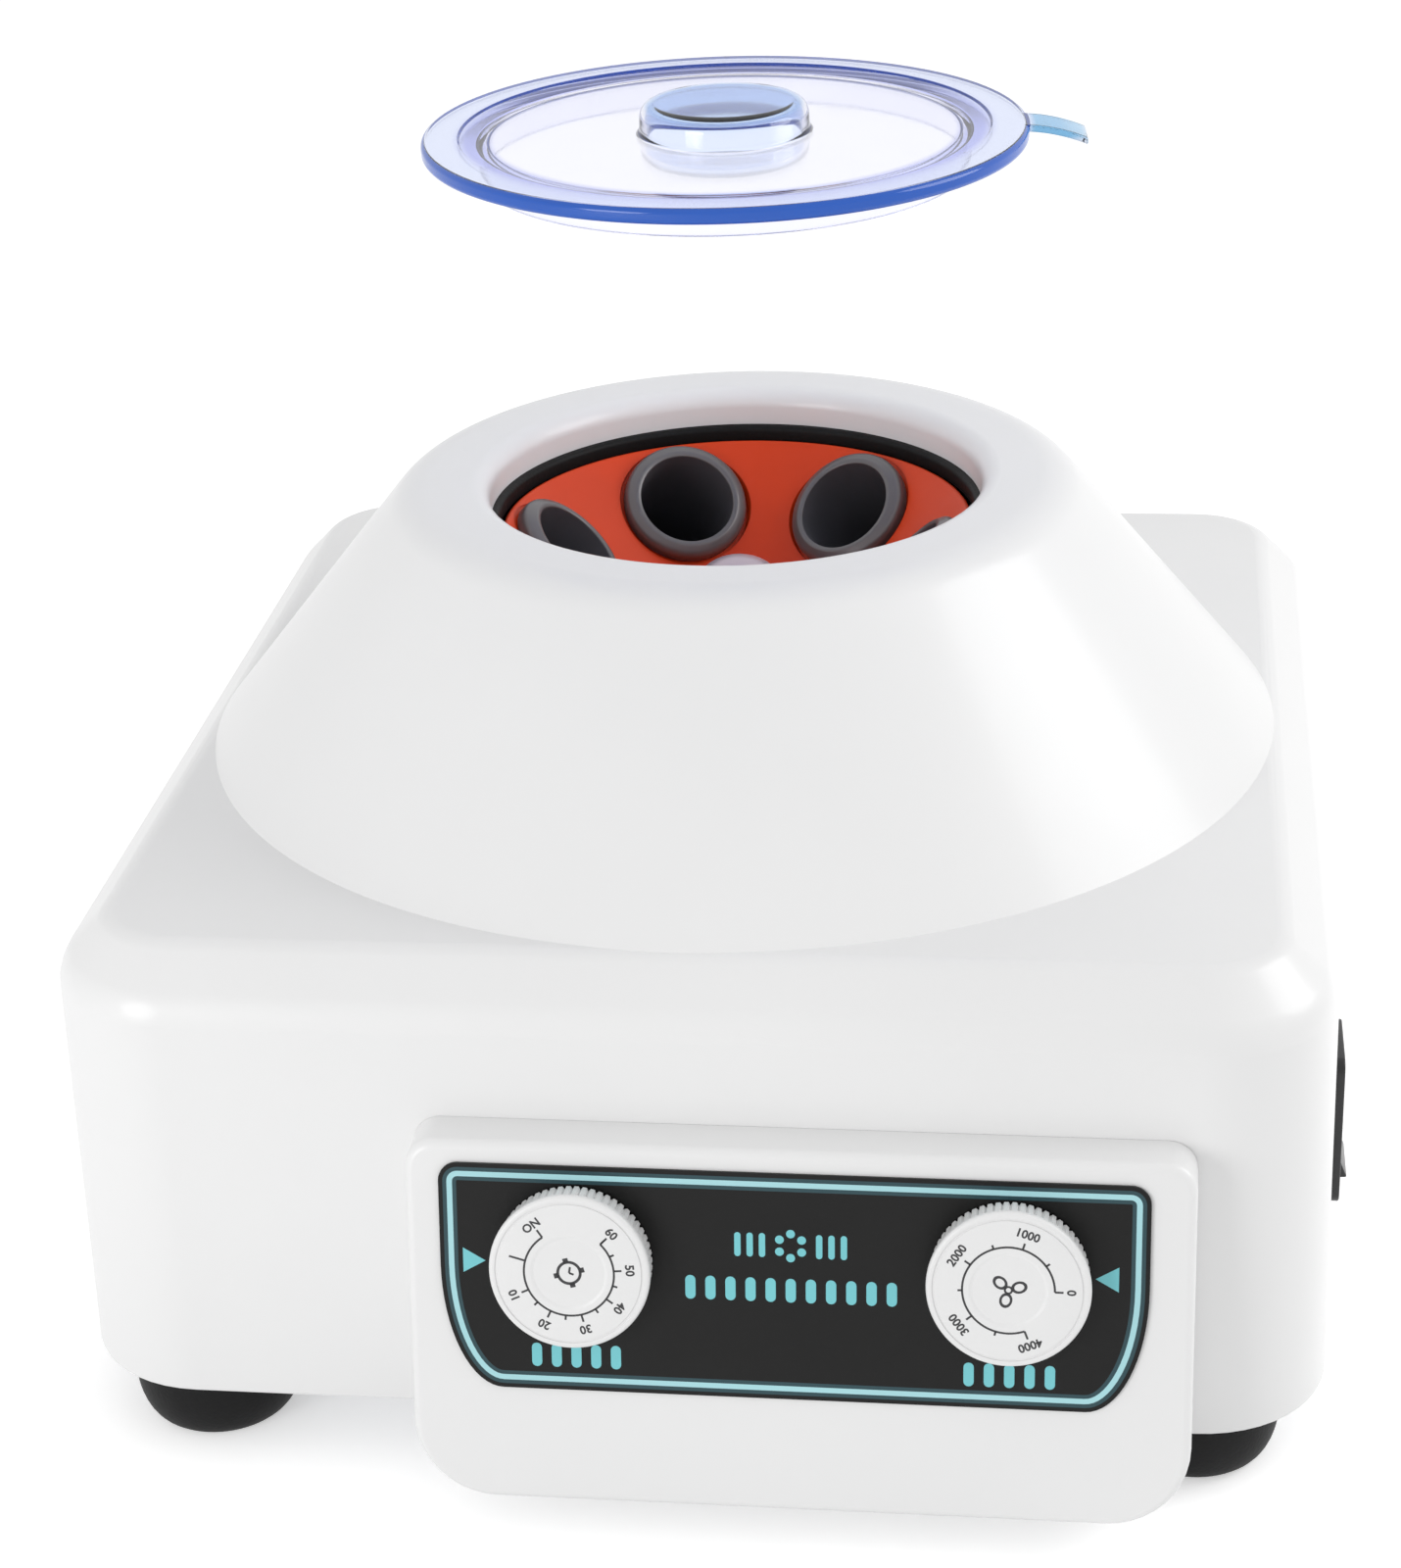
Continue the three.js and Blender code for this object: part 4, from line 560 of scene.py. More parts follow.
def new_group(name, result, **numbers):
    """An empty node group that takes a place and numbers and gives one value."""
    tree = bpy.data.node_groups.new(name, "ShaderNodeTree")
    tree.interface.new_socket(name="Vector", in_out="INPUT", socket_type="NodeSocketVector")
    for key, default in numbers.items():
        socket = tree.interface.new_socket(
            name=key, in_out="INPUT", socket_type="NodeSocketFloat"
        )
        socket.default_value = default
    tree.interface.new_socket(name=result, in_out="OUTPUT", socket_type="NodeSocketFloat")
    given = tree.nodes.new("NodeGroupInput").outputs
    return tree, given, tree.nodes.new("NodeGroupOutput").inputs[result]


def mottle_group(name):
    """Slow, soft variation between two values."""
    tree, given, out = new_group(name, "Value", Scale=30.0, Low=0.0, High=1.0)
    clouds = noise(tree, given["Vector"], given["Scale"], 3.0)
    ends = {"From_Min": 0.3, "From_Max": 0.7, "To_Min": given["Low"], "To_Max": given["High"]}
    tree.links.new(mapped(tree, clouds, **ends), out)
    return tree


def grain_group(name):
    """Fine grain of a moulded or sprayed skin, as a height."""
    tree, given, out = new_group(name, "Height", Scale=900.0)
    values = {"Vector": given["Vector"], "Scale": given["Scale"]}
    cells = node(tree, "TexVoronoi", values, feature="SMOOTH_F1").outputs["Distance"]
    clouds = noise(tree, given["Vector"], given["Scale"], 2.0)
    tree.links.new(sum_of(tree, "ADD", cells, clouds), out)
    return tree


def turned_group(name):
    """Fine rings about the Z axis, as a lathe leaves them."""
    tree, given, out = new_group(name, "Height", Pitch=0.0004)
    rings = sum_of(tree, "DIVIDE", reach_of(tree, given["Vector"]), given["Pitch"])
    values = {"W": rings, "Scale": 1.0, "Detail": 2.0}
    tree.links.new(node(tree, "TexNoise", values, noise_dimensions="1D").outputs["Fac"], out)
    return tree


def dust_group(name):
    """A thin veil of dust on faces that look up."""
    tree, given, out = new_group(name, "Mask", Amount=0.1)
    facing = node(tree, "NewGeometry").outputs["Normal"]
    height = node(tree, "SeparateXYZ", {"Vector": facing}).outputs["Z"]
    upwards = mapped(tree, height, From_Min=0.5, From_Max=1.0)
    veil = sum_of(tree, "MULTIPLY", upwards, noise(tree, given["Vector"], 400.0, 6.0))
    tree.links.new(sum_of(tree, "MULTIPLY", veil, given["Amount"]), out)
    return tree


GROUPS = {
    "Soft Mottle": mottle_group,
    "Skin Grain": grain_group,
    "Turned Rings": turned_group,
    "Settled Dust": dust_group,
}


def grouped(tree, name, place, **numbers):
    """The value that a shared node group gives at a place."""
    made = tree.nodes.new("ShaderNodeGroup")
    made.node_tree = bpy.data.node_groups.get(name) or GROUPS[name](name)
    return feed(tree, made, {"Vector": place, **numbers}).outputs[0]


# Finishes


def new_material(name):
    """An empty material, its nodes and the socket of its surface."""
    material = bpy.data.materials.new(name)
    material.use_nodes = True
    tree = material.node_tree
    tree.nodes.clear()
    return material, tree, tree.nodes.new("ShaderNodeOutputMaterial").inputs["Surface"]


def finish(
    name,
    tone,
    roughness,
    tone_shift=0.03,
    tone_scale=25.0,
    grain=900.0,
    bump=0.02,
    depth=0.0002,
    rings=0.0,
    dust=0.0,
    **shader,
):
    """A procedural finish: soft changes of tone and gloss, grain or turned rings, thin dust."""
    known = bpy.data.materials.get(name)
    if known:
        return known
    material, tree, surface = new_material(name)
    values = {key.replace("_", " "): value for key, value in shader.items()}
    principled = node(tree, "BsdfPrincipled", values)
    tree.links.new(principled.outputs["BSDF"], surface)
    place = place_of(tree, SPINDLE if rings else None)
    darker = (*(level * (1 - tone_shift) for level in tone), 1)
    lighter = (*(min(1, level * (1 + tone_shift)) for level in tone), 1)
    mottle = grouped(tree, "Soft Mottle", place, Scale=tone_scale)
    base = blend(tree, mottle, darker, lighter)
    if dust:
        base = blend(tree, grouped(tree, "Settled Dust", place, Amount=dust), base, DUST)
    spread = 0.025
    gloss = grouped(
        tree,
        "Soft Mottle",
        place,
        Scale=tone_scale * 3,
        Low=roughness - spread,
        High=roughness + spread,
    )
    if rings:
        height = grouped(tree, "Turned Rings", place, Pitch=rings)
    else:
        height = grouped(tree, "Skin Grain", place, Scale=grain)
    relief = node(tree, "Bump", {"Height": height, "Strength": bump, "Distance": depth})
    normal = relief.outputs["Normal"]
    feed(tree, principled, {"Base Color": base, "Roughness": gloss, "Normal": normal})
    return material


def shell_enamel(tone):
    """White enamel of the shell and the control housing."""
    soft = {"tone_shift": 0.012, "tone_scale": 12.0, "grain": 260.0, "bump": 0.03}
    coat = {"Coat_Weight": 0.25, "Coat_Roughness": 0.15}
    return finish("shell_enamel", tone, 0.38, depth=0.00008, dust=0.02, **soft, **coat)


def zinc_finish():
    """Zinc plate of the base and the screws."""
    return finish("zinc_plate", ZINC_TONE, 0.34, grain=1500.0, Metallic=0.95)


def dark_paint():
    """Dark paint of the motor and the guard bowl."""
    return finish("dark_paint", linear(70, 73, 77), 0.4, tone_shift=0.06, Metallic=0.6)


def switch_plastic(tone):
    """Black plastic of the switch and the inlet."""
    return finish("switch_plastic", tone, 0.28, tone_shift=0.1, grain=1500.0, bump=0.08)


def black_rubber():
    """Black rubber of the feet, the dampers and the trim."""
    worn = {"tone_shift": 0.1, "dust": 0.015, "grain": 1400.0, "bump": 0.18}
    return finish("black_rubber", linear(12, 12, 13), 0.55, Specular_IOR_Level=0.2, **worn)


# Settings that a user may change


class ShellSettings(bpy.types.PropertyGroup):
    """Sizes and colour of the enamelled shell and the cone on it."""

    wall: length("Wall", 0.003, "Thickness of the shell")
    draft: length("Draft", 0.00065, "How far the walls lean in up to the shoulder")
    chamfer: length("Chamfer", 0.0109, "Width and height of the sloping shoulder")
    corner: length("Corner Radius", 0.028, "Radius of the four upright corners")
    shoulder_round: length("Shoulder Round", 0.0042, "Reach of the round under the chamfer")
    deck_round: length("Deck Round", 0.0024, "Reach of the round over the chamfer")
    foot_round: length("Lower Edge Round", 0.001, "Reach of the round along the lower edge")
    deck_height: length("Deck Height", 0.1192, "Height of the flat deck above the bench")
    cone_base: length("Cone Base Radius", 0.12326, "Radius of the cone where it meets the deck")
    mouth: length("Mouth Radius", 0.05604, "Radius of the opening over the rotor")
    rim_band: length("Rim Band", 0.019, "Width of the flat rim round the mouth")
    rim_round: length("Rim Round", 0.0125, "Radius between the rim and the cone")
    lip_depth: length("Lip Depth", 0.0085, "Depth of the lip that turns into the mouth")
    lip_round: length("Lip Round", 0.0045, "Radius of the lip")
    post: length("Post Radius", 0.006, "Radius of the posts over the feet")
    vent_count: count("Vents", 7, "Number of cooling slots in the rear wall")
    vent_length: length("Vent Length", 0.056, "Length of one cooling slot")
    vent_height: length("Vent Height", 0.003, "Height of one cooling slot")
    vent_pitch: length("Vent Pitch", 0.007, "Distance from slot to slot")
    vent_side: length("Vent Offset", 0.064, "Middle of the slots, left of the origin")
    vent_low: length("Lowest Vent", 0.037, "Height of the lowest slot")
    tone: colour("Enamel", linear(238, 238, 238), "Colour of the enamel")


class PanelSettings(bpy.types.PropertyGroup):
    """Sizes and colours of the control housing and its label plate."""

    low_corner: length("Lower Corners", 0.017, "Radius of the lower corners of the housing")
    high_corner: length("Upper Corners", 0.006, "Radius of the upper corners of the housing")
    edge: length("Edge Round", 0.0018, "Reach of the round along the edge of the face")
    label_width: length("Label Width", 0.1442, "Width of the label plate")
    label_height: length("Label Height", 0.049, "Height of the label plate")
    label_rise: length("Label Rise", 0.02, "Top of the label above the middle of the dials")
    label_thickness: length("Label Thickness", 0.0006, "Thickness of the label plate")
    label_corner: length("Label Corner", 0.004, "Radius of its upper corners")
    sweep_width: length("Sweep Width", 0.0125, "Width of its sweeping lower corners")
    sweep_height: length("Sweep Height", 0.027, "Height of its sweeping lower corners")
    line_inset: length("Line Inset", 0.0009, "Distance from the label's edge to its line")
    line_border: length("Line Border", 0.00085, "Width of the dark border of the line")
    line_width: length("Line Width", 0.00115, "Width of the bright line")
    pointer: length("Pointer", 0.0031, "Size of the pointers beside the dials")
    ring: length("Dot Ring", 0.0026, "Radius of the small ring of dots")
    ring_rise: length("Dot Ring Height", 0.0046, "Ring of dots above the middle of the dials")
    dot: length("Dot", 0.0009, "Radius of a dot")
    print_rise: length("Print Rise", 0.00005, "Thickness of the printed marks")
    foil: colour("Foil", linear(12, 12, 12), "Colour of the label plate")
    line: colour("Line", linear(172, 222, 228), "Colour of the bright line")
    marks: colour("Marks", linear(120, 205, 212), "Colour of the pointers and the bars")
    border: colour("Border", linear(22, 62, 70), "Colour of the line's border")


class DialSettings(bpy.types.PropertyGroup):
    """Sizes and colours of the two dial knobs."""

    radius: length("Radius", 0.0165, "Radius of the knob's face")
    rise: length("Rise", 0.0075, "Height of the knob above the label")
    gap: length("Shadow Gap", 0.0006, "Gap between the label and the knob")
    face_depth: length("Face Depth", 0.0017, "Thickness of the smooth face over the knurls")
    lip_round: length("Lip Round", 0.0008, "Radius of the face's outer edge")
    groove_radius: length("Groove Radius", 0.015, "Radius of the fine ring in the face")
    groove_width: length("Groove Width", 0.00045, "Width of the fine ring")
    groove_depth: length("Groove Depth", 0.00025, "Depth of the fine ring")
    dish_radius: length("Dish Radius", 0.0079, "Radius of the shallow dish in the face")
    dish_depth: length("Dish Depth", 0.0002, "Depth of the shallow dish")
    knurl_depth: length("Knurl Depth", 0.0007, "Depth of the grooves round the skirt")
    knurls: count("Knurls", 60, "Number of grooves round the skirt")
    scale_radius: length("Scale Radius", 0.0092, "Radius of the printed arc")
    timer_first: angle_of("Timer Start", 125, "Direction of the timer's ON mark")
    timer_sweep: angle_of("Timer Sweep", 280, "Travel from ON to 60 minutes")
    speed_sweep: angle_of("Speed Sweep", 291, "Travel from 0 to the highest speed")
    print_rise: length("Print Rise", 0.00005, "Thickness of the printed marks")
    stroke: length("Stroke", 0.00042, "Width of the printed lines")
    figure_size: length("Figure Size", 0.0025, "Size of the printed numbers")
    figure_radius: length("Figure Radius", 0.0124, "Distance of the numbers from the middle")
    tone: colour("Knob", linear(236, 236, 236), "Colour of the knob")
    ink: colour("Ink", linear(48, 48, 50), "Colour of the printed marks")


class RotorSettings(bpy.types.PropertyGroup):
    """Sizes and colours of the rotor, its sleeves and the nut."""

    tilt: angle_of("Tilt", 45, "Lean of the sleeves")
    first_turn: angle_of("First Sleeve", -5, "Direction of the first sleeve about the spindle")
    seat_radius: length("Seat Radius", 0.0413, "Distance of a sleeve's seat from the spindle")
    seat_height: length("Seat Height", 0.155058, "Height of a sleeve's seat")
    bore: length("Bore", 0.0112, "Inner radius of a sleeve")
    wall: length("Sleeve Wall", 0.0013, "Thickness of a sleeve")
    sleeve_length: length("Sleeve Length", 0.084, "Length of a sleeve under its flange")
    flange: length("Flange Radius", 0.0148, "Radius of a sleeve's flange")
    flange_height: length("Flange Height", 0.004, "Height of a sleeve's flange")
    rim: length("Rim Radius", 0.0537, "Radius of the rotor's rim")
    rim_height: length("Rim Height", 0.1677, "Height of the rotor's rim")
    floor: length("Floor Radius", 0.028148, "Radius of the rotor's flat floor")
    floor_height: length("Floor Height", 0.142754, "Height of the rotor's flat floor")
    skin: length("Skin", 0.0035, "Thickness of the rotor's funnel")
    hub_bore: length("Hub Bore", 0.0095, "Radius of the hole for the hub")
    boss_wall: length("Boss Wall", 0.005, "Thickness of the boss round the hub")
    guide_wall: length("Guide Wall", 0.0022, "Thickness of the guide tubes")
    guide_length: length("Guide Length", 0.022, "Reach of the guide tubes under the seats")
    rib: length("Rib Thickness", 0.003, "Thickness of the ribs")
    rib_drop: length("Rib Drop", 0.006, "Depth of the ribs under the funnel")
    clearance: length("Clearance", 0.0003, "Gap round a sleeve in its guide")
    nut: length("Nut Radius", 0.0104, "Radius of the nut")
    nut_height: length("Nut Height", 0.011, "Height of the nut")
    nut_skirt: length("Nut Skirt", 0.003, "Height of the nut's straight side")
    nut_bore: length("Nut Bore", 0.0043, "Radius of the nut's thread")
    hub: length("Hub Radius", 0.009, "Radius of the hub")
    hub_flange: length("Hub Flange", 0.004, "Width of the hub's flange")
    tone: colour("Rotor", linear(224, 66, 18), "Colour of the rotor")
    sleeve_tone: colour("Sleeves", linear(104, 102, 104), "Colour of the sleeves")
    # The darker colour inside the sleeves is painted shade of the deep, narrow bore.
    bore_shade_tone: colour("Bores", linear(92, 92, 98), "Colour inside the sleeves")
    nut_tone: colour("Nut", linear(192, 178, 190), "Colour of the nut")


class LidSettings(bpy.types.PropertyGroup):
    """Sizes and colours of the clear lid."""

    flange: length("Flange Radius", 0.066338, "Outer radius of the lid")
    plug: length("Plug Radius", 0.053838, "Outer radius of the ring that enters the mouth")
    plug_wall: length("Plug Wall", 0.0018, "Thickness of that ring")
    plug_depth: length("Plug Depth", 0.006, "Depth of that ring")
    thickness: length("Thickness", 0.0035, "Thickness of the flange")
    floor_drop: length("Floor Drop", 0.0008, "Step from the flange down to the disc")
    floor_thickness: length("Disc Thickness", 0.0022, "Thickness of the disc")
    band: length("Band Width", 0.0045, "Width of the sunk band round the disc")
    band_step: length("Band Step", 0.0004, "Depth of the sunk band")
    grip: length("Grip Radius", 0.0187, "Radius of the raised grip")
    grip_rise: length("Grip Rise", 0.0058, "Height of the grip over the flange")
    grip_wall: length("Grip Wall", 0.0015, "Thickness of the hollow grip")
    edge: length("Edge Round", 0.0012, "Radius of the flange's edge")
    tab_turn: angle_of("Tab Turn", 5, "Direction of the lifting tab")
    tab_length: length("Tab Length", 0.0125, "Length of the lifting tab")
    tab_width: length("Tab Width", 0.011, "Width of the lifting tab")
    tab_thickness: length("Tab Thickness", 0.0016, "Thickness of the lifting tab")
    tab_droop: length("Tab Droop", 0.0032, "How far the tip of the tab bends down")
    tone: colour("Tint", linear(240, 241, 252), "Colour of the clear disc")
    # The flange, band and grip tints are painted: they stand in for the deeper blue that light
    # takes on through the thicker flange, the plug ring under the band and the grip.
    flange_painted_tint: colour("Flange Tint", linear(206, 216, 244), "Colour of the flange")
    band_painted_tint: colour("Band Tint", linear(136, 146, 226), "Colour of the sunk band")
    grip_painted_tint: colour("Grip Tint", linear(176, 202, 242), "Colour of the grip")
    # The edge colour is a painted glow, standing in for the light that the clear flange carries to
    # its edge.
    edge_glow_tone: colour("Edge", linear(20, 88, 190), "Colour of the glowing edge")
    tab_tone: colour("Tab Tint", linear(120, 180, 222), "Colour of the lifting tab")


class FittingSettings(bpy.types.PropertyGroup):
    """Sizes and colours of the switch, the inlet, the trim, the feet and the screws."""

    switch_width: length("Switch Width", 0.022, "Width of the switch frame")
    switch_height: length("Switch Height", 0.035, "Height of the switch frame")
    switch_skin: length("Switch Skin", 0.0015, "Wall of the switch's case")
    bezel: length("Bezel", 0.002, "Width of the switch frame's border")
    bezel_rise: length("Bezel Rise", 0.0024, "How far the frame stands off the wall")
    rocker_tip: angle_of("Rocker Tip", 9, "How far the rocker leans at rest")
    foot_top: length("Foot Radius", 0.0185, "Radius of a foot at its top")
    foot_bottom: length("Foot Tread", 0.013, "Radius of a foot on the bench")
    screw_head: length("Screw Head", 0.004, "Radius of the head of a foot's screw")
    side_head: length("Inlet Screw Head", 0.003, "Radius of the head of an inlet screw")
    bowl_sheet: length("Bowl Sheet", 0.0012, "Thickness of the guard bowl")
    bowl_flange: length("Bowl Flange", 0.0035, "Width of the guard bowl's flange")
    bowl_hole: length("Bowl Hole", 0.038, "Radius of the hole in the guard bowl's floor")
    black: colour("Black Plastic", linear(18, 18, 20), "Colour of the switch and the inlet")
    mark: colour("Switch Mark", linear(225, 225, 225), "Colour of the marks on the rocker")


class StageSettings(bpy.types.PropertyGroup):
    """Camera and light."""

    lens: strength("Lens", 79.55, "Focal length for a sensor 36 mm wide")
    sky: strength("Sky", 0.685, "Strength of the even light")
    key: strength("Key", 4.6, "Power of the lamp at the front left")
    side: strength("Side", 1.7, "Power of the lamp at the right")
    lift: strength("Floor Lift", 0.45, "How far the floor is lifted to white")
    floor: colour("Floor", (0.9, 0.9, 0.9), "Colour of the floor")


SETTINGS = {
    "centrifuge_shell": ShellSettings,
    "centrifuge_panel": PanelSettings,
    "centrifuge_dials": DialSettings,
    "centrifuge_rotor": RotorSettings,
    "centrifuge_lid": LidSettings,
    "centrifuge_fittings": FittingSettings,
    "centrifuge_stage": StageSettings,
}


# Operators, one for each piece or group of like pieces


def panel_matrix(face=None):
    """Frame of the leaning panel at a place on it: x right, y up the face, z out."""
    return frame_matrix(face or (TIMER_FACE + SPEED_FACE) / 2, RIGHT, DIAL_UP, DIAL_OUT)


class PieceOperator:
    """What every operator here has: it can be undone."""

    bl_options = {"REGISTER", "UNDO"}


class CENTRIFUGE_OT_shell(PieceOperator, bpy.types.Operator):
    """Model the enamelled shell with its cone, rim, windows and vents"""

    bl_idname = "centrifuge.shell"
    bl_label = "Shell"

    def execute(self, context):
        s = context.scene.centrifuge_shell
        shell = self.block("shell", s, 0)
        cut(shell, self.block("hollow", s, s.wall))
        flank = math.atan2(RIM_Z - s.deck_height, s.cone_base - s.mouth - s.rim_band)
        inner_base = s.cone_base - s.wall / math.sin(flank)
        foot = (*SPINDLE[:2], s.deck_height - 2 * s.wall)
        cut(shell, rod("hole", inner_base, foot, s.deck_height * 1.1, 144))
        unite(shell, self.cone(s, flank, inner_base))
        over_base = 0.0017
        posts = []
        for corner in FOOT_CORNERS:
            foot = (*middle_of(f"foot_{corner}")[:2], SHELL_LOW.z + over_base)
            posts.append(rod("post", s.post, foot, s.deck_height - s.wall / 2, 24))
        unite(shell, *posts)
        cut(shell, *self.cutters(s))
        enamel = [shell_enamel(s.tone)]
        dressed(shell, "body", enamel, ["housing_shell"], 32, flats=True)
        return {"FINISHED"}

    @staticmethod
    def block(name, s, inset):
        """The box of the shell: drafted walls, round corners, chamfered shoulder and soft edges."""
        centre = (SHELL_LOW + SHELL_HIGH) / 2
        half_x = (SHELL_HIGH.x - SHELL_LOW.x) / 2 - inset
        half_y = (SHELL_HIGH.y - SHELL_LOW.y) / 2 - inset
        low = SHELL_LOW.z - inset
        shoulder = s.deck_height - s.chamfer - inset
        block = cube(
            name,
            (centre.x - half_x, centre.y - half_y, low),
            (centre.x + half_x, centre.y + half_y, shoulder),
        )
        with editing(block):
            pick("EDGE", upright_edge)
            bevel(s.corner - inset, 12)
            pick("VERT", lambda vert: near(vert.co.z, shoulder))
            bpy.ops.transform.resize(
                value=(1 - s.draft / half_x, 1 - s.draft / half_y, 1),
                center_override=(centre.x, centre.y, shoulder),
            )
            pick("FACE", lambda face: near(face.calc_center_median().z, shoulder))
            bpy.ops.mesh.inset(thickness=s.chamfer, depth=s.chamfer)
            pick("EDGE", level_edge(shoulder))
            bevel(s.shoulder_round, 6)
            pick("EDGE", level_edge(shoulder + s.chamfer))
            bevel(s.deck_round, 4)
            if not inset:
                pick("EDGE", level_edge(low))
                bevel(s.foot_round, 2)
        return tidy(block)

    @staticmethod
    def cone(s, flank, inner_base):
        """The cone's wall with its flat rim and the lip that turns down into the mouth."""
        centre_r = s.mouth + s.rim_band - s.rim_round * math.tan(flank / 2)
        centre_z = RIM_Z - s.rim_round
        overlap = 0.0002
        root = s.deck_height - s.wall - overlap
        lip = RIM_Z - s.lip_depth
        lip_centre = (s.mouth + s.lip_round, RIM_Z - s.lip_round)
        section = [
            (inner_base, root),
            (s.cone_base, root),
            (s.cone_base, s.deck_height),
            *curve_points(centre_r, centre_z, s.rim_round, QUARTER - flank, QUARTER, 10),
            *curve_points(*lip_centre, s.lip_round, QUARTER, math.pi, 8),
            (s.mouth, lip),
            (s.mouth + s.wall, lip),
            (s.mouth + s.wall, RIM_Z - s.wall),
            *curve_points(centre_r, centre_z, s.rim_round - s.wall, QUARTER, QUARTER - flank, 6),
        ]
        return spun("cone", section, 180)

    @staticmethod
    def cutters(s):
        """Boxes for the dial window, the switch and the inlet, and the cooling slots."""
        margin = 0.003
        ledge = 0.0018
        inlet_half = 0.014
        inlet_low, inlet_high = 0.0358, 0.0562
        timer_low, timer_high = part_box("timer_unit")
        pot_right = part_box("speed_potentiometer")[1].x
        window = cube(
            "window",
            (timer_low.x - margin, SHELL_LOW.y - margin, timer_low.z - margin),
            (pot_right + margin, SHELL_LOW.y + 2 * margin, timer_high.z + margin),
        )
        low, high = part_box("switch_frame")
        switch = cube(
            "switch",
            (SHELL_HIGH.x - 2 * margin, low.y + ledge, low.z + ledge),
            (SHELL_HIGH.x + margin, high.y - ledge, high.z - ledge),
        )
        inlet_x = middle_of("power_inlet").x
        inlet = cube(
            "inlet",
            (inlet_x - inlet_half, SHELL_HIGH.y - 2 * margin, inlet_low),
            (inlet_x + inlet_half, SHELL_HIGH.y + margin, inlet_high),
        )
        slot = pill("slot", s.vent_length, s.vent_height, 4 * margin)
        seat(slot, moved(-s.vent_side, SHELL_HIGH.y + margin, s.vent_low) @ turned(QUARTER, "X"))
        slots = [
            copied(slot, "slot", moved(z=i * s.vent_pitch)) for i in range(1, s.vent_count)
        ]
        return [window, switch, inlet, slot, *slots]


class CENTRIFUGE_OT_panel_housing(PieceOperator, bpy.types.Operator):
    """Model the housing with a leaning face that carries the dials"""

    bl_idname = "centrifuge.panel_housing"
    bl_label = "Control Housing"

    def execute(self, context):
        s = context.scene.centrifuge_panel
        shell = context.scene.centrifuge_shell
        outer = self.prism(s, shell, "panel_housing", 0)
        with editing(outer):
            pick("FACE", lambda face: face.normal.dot(DIAL_OUT) > 0.99)
            bpy.ops.mesh.region_to_loop()
            bevel(s.edge, 5)
        cut(outer, self.prism(s, shell, "hollow", shell.wall))
        enamel = [shell_enamel(shell.tone)]
        dressed(outer, "body", enamel, ["control_housing"], 35, flats=True)
        return {"FINISHED"}

    @staticmethod
    def prism(s, shell, name, inset):
        """A rounded block behind the leaning face, cut off at the face and at the wall."""
        low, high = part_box("control_housing")
        width = high.x - low.x - 2 * inset
        height = high.z - low.z - 2 * inset
        depth, past_wall, within_wall = 0.05, 0.004, 0.0009
        low_corner, high_corner = s.low_corner - inset, s.high_corner - inset
        block = outlined(name, width, height, low_corner, high_corner, depth, 10)
        middle = ((low.x + high.x) / 2, high.y + past_wall, (low.z + high.z) / 2)
        seat(block, moved(*middle) @ turned(QUARTER, "X"))
        wall_lean = shell.draft / (shell.deck_height - shell.chamfer - SHELL_LOW.z)
        behind = within_wall if inset else -STAND_OFF
        wall_point = Vector((0, SHELL_LOW.y + behind, SHELL_LOW.z))
        cuts = (
            (TIMER_FACE - DIAL_OUT * inset, DIAL_OUT),
            (wall_point, Vector((0, 1, -wall_lean)).normalized()),
        )
        with editing(block):
            for point, normal in cuts:
                pick_all()
                bpy.ops.mesh.bisect(
                    plane_co=point, plane_no=normal, use_fill=True, clear_outer=True
                )
        return tidy(block)


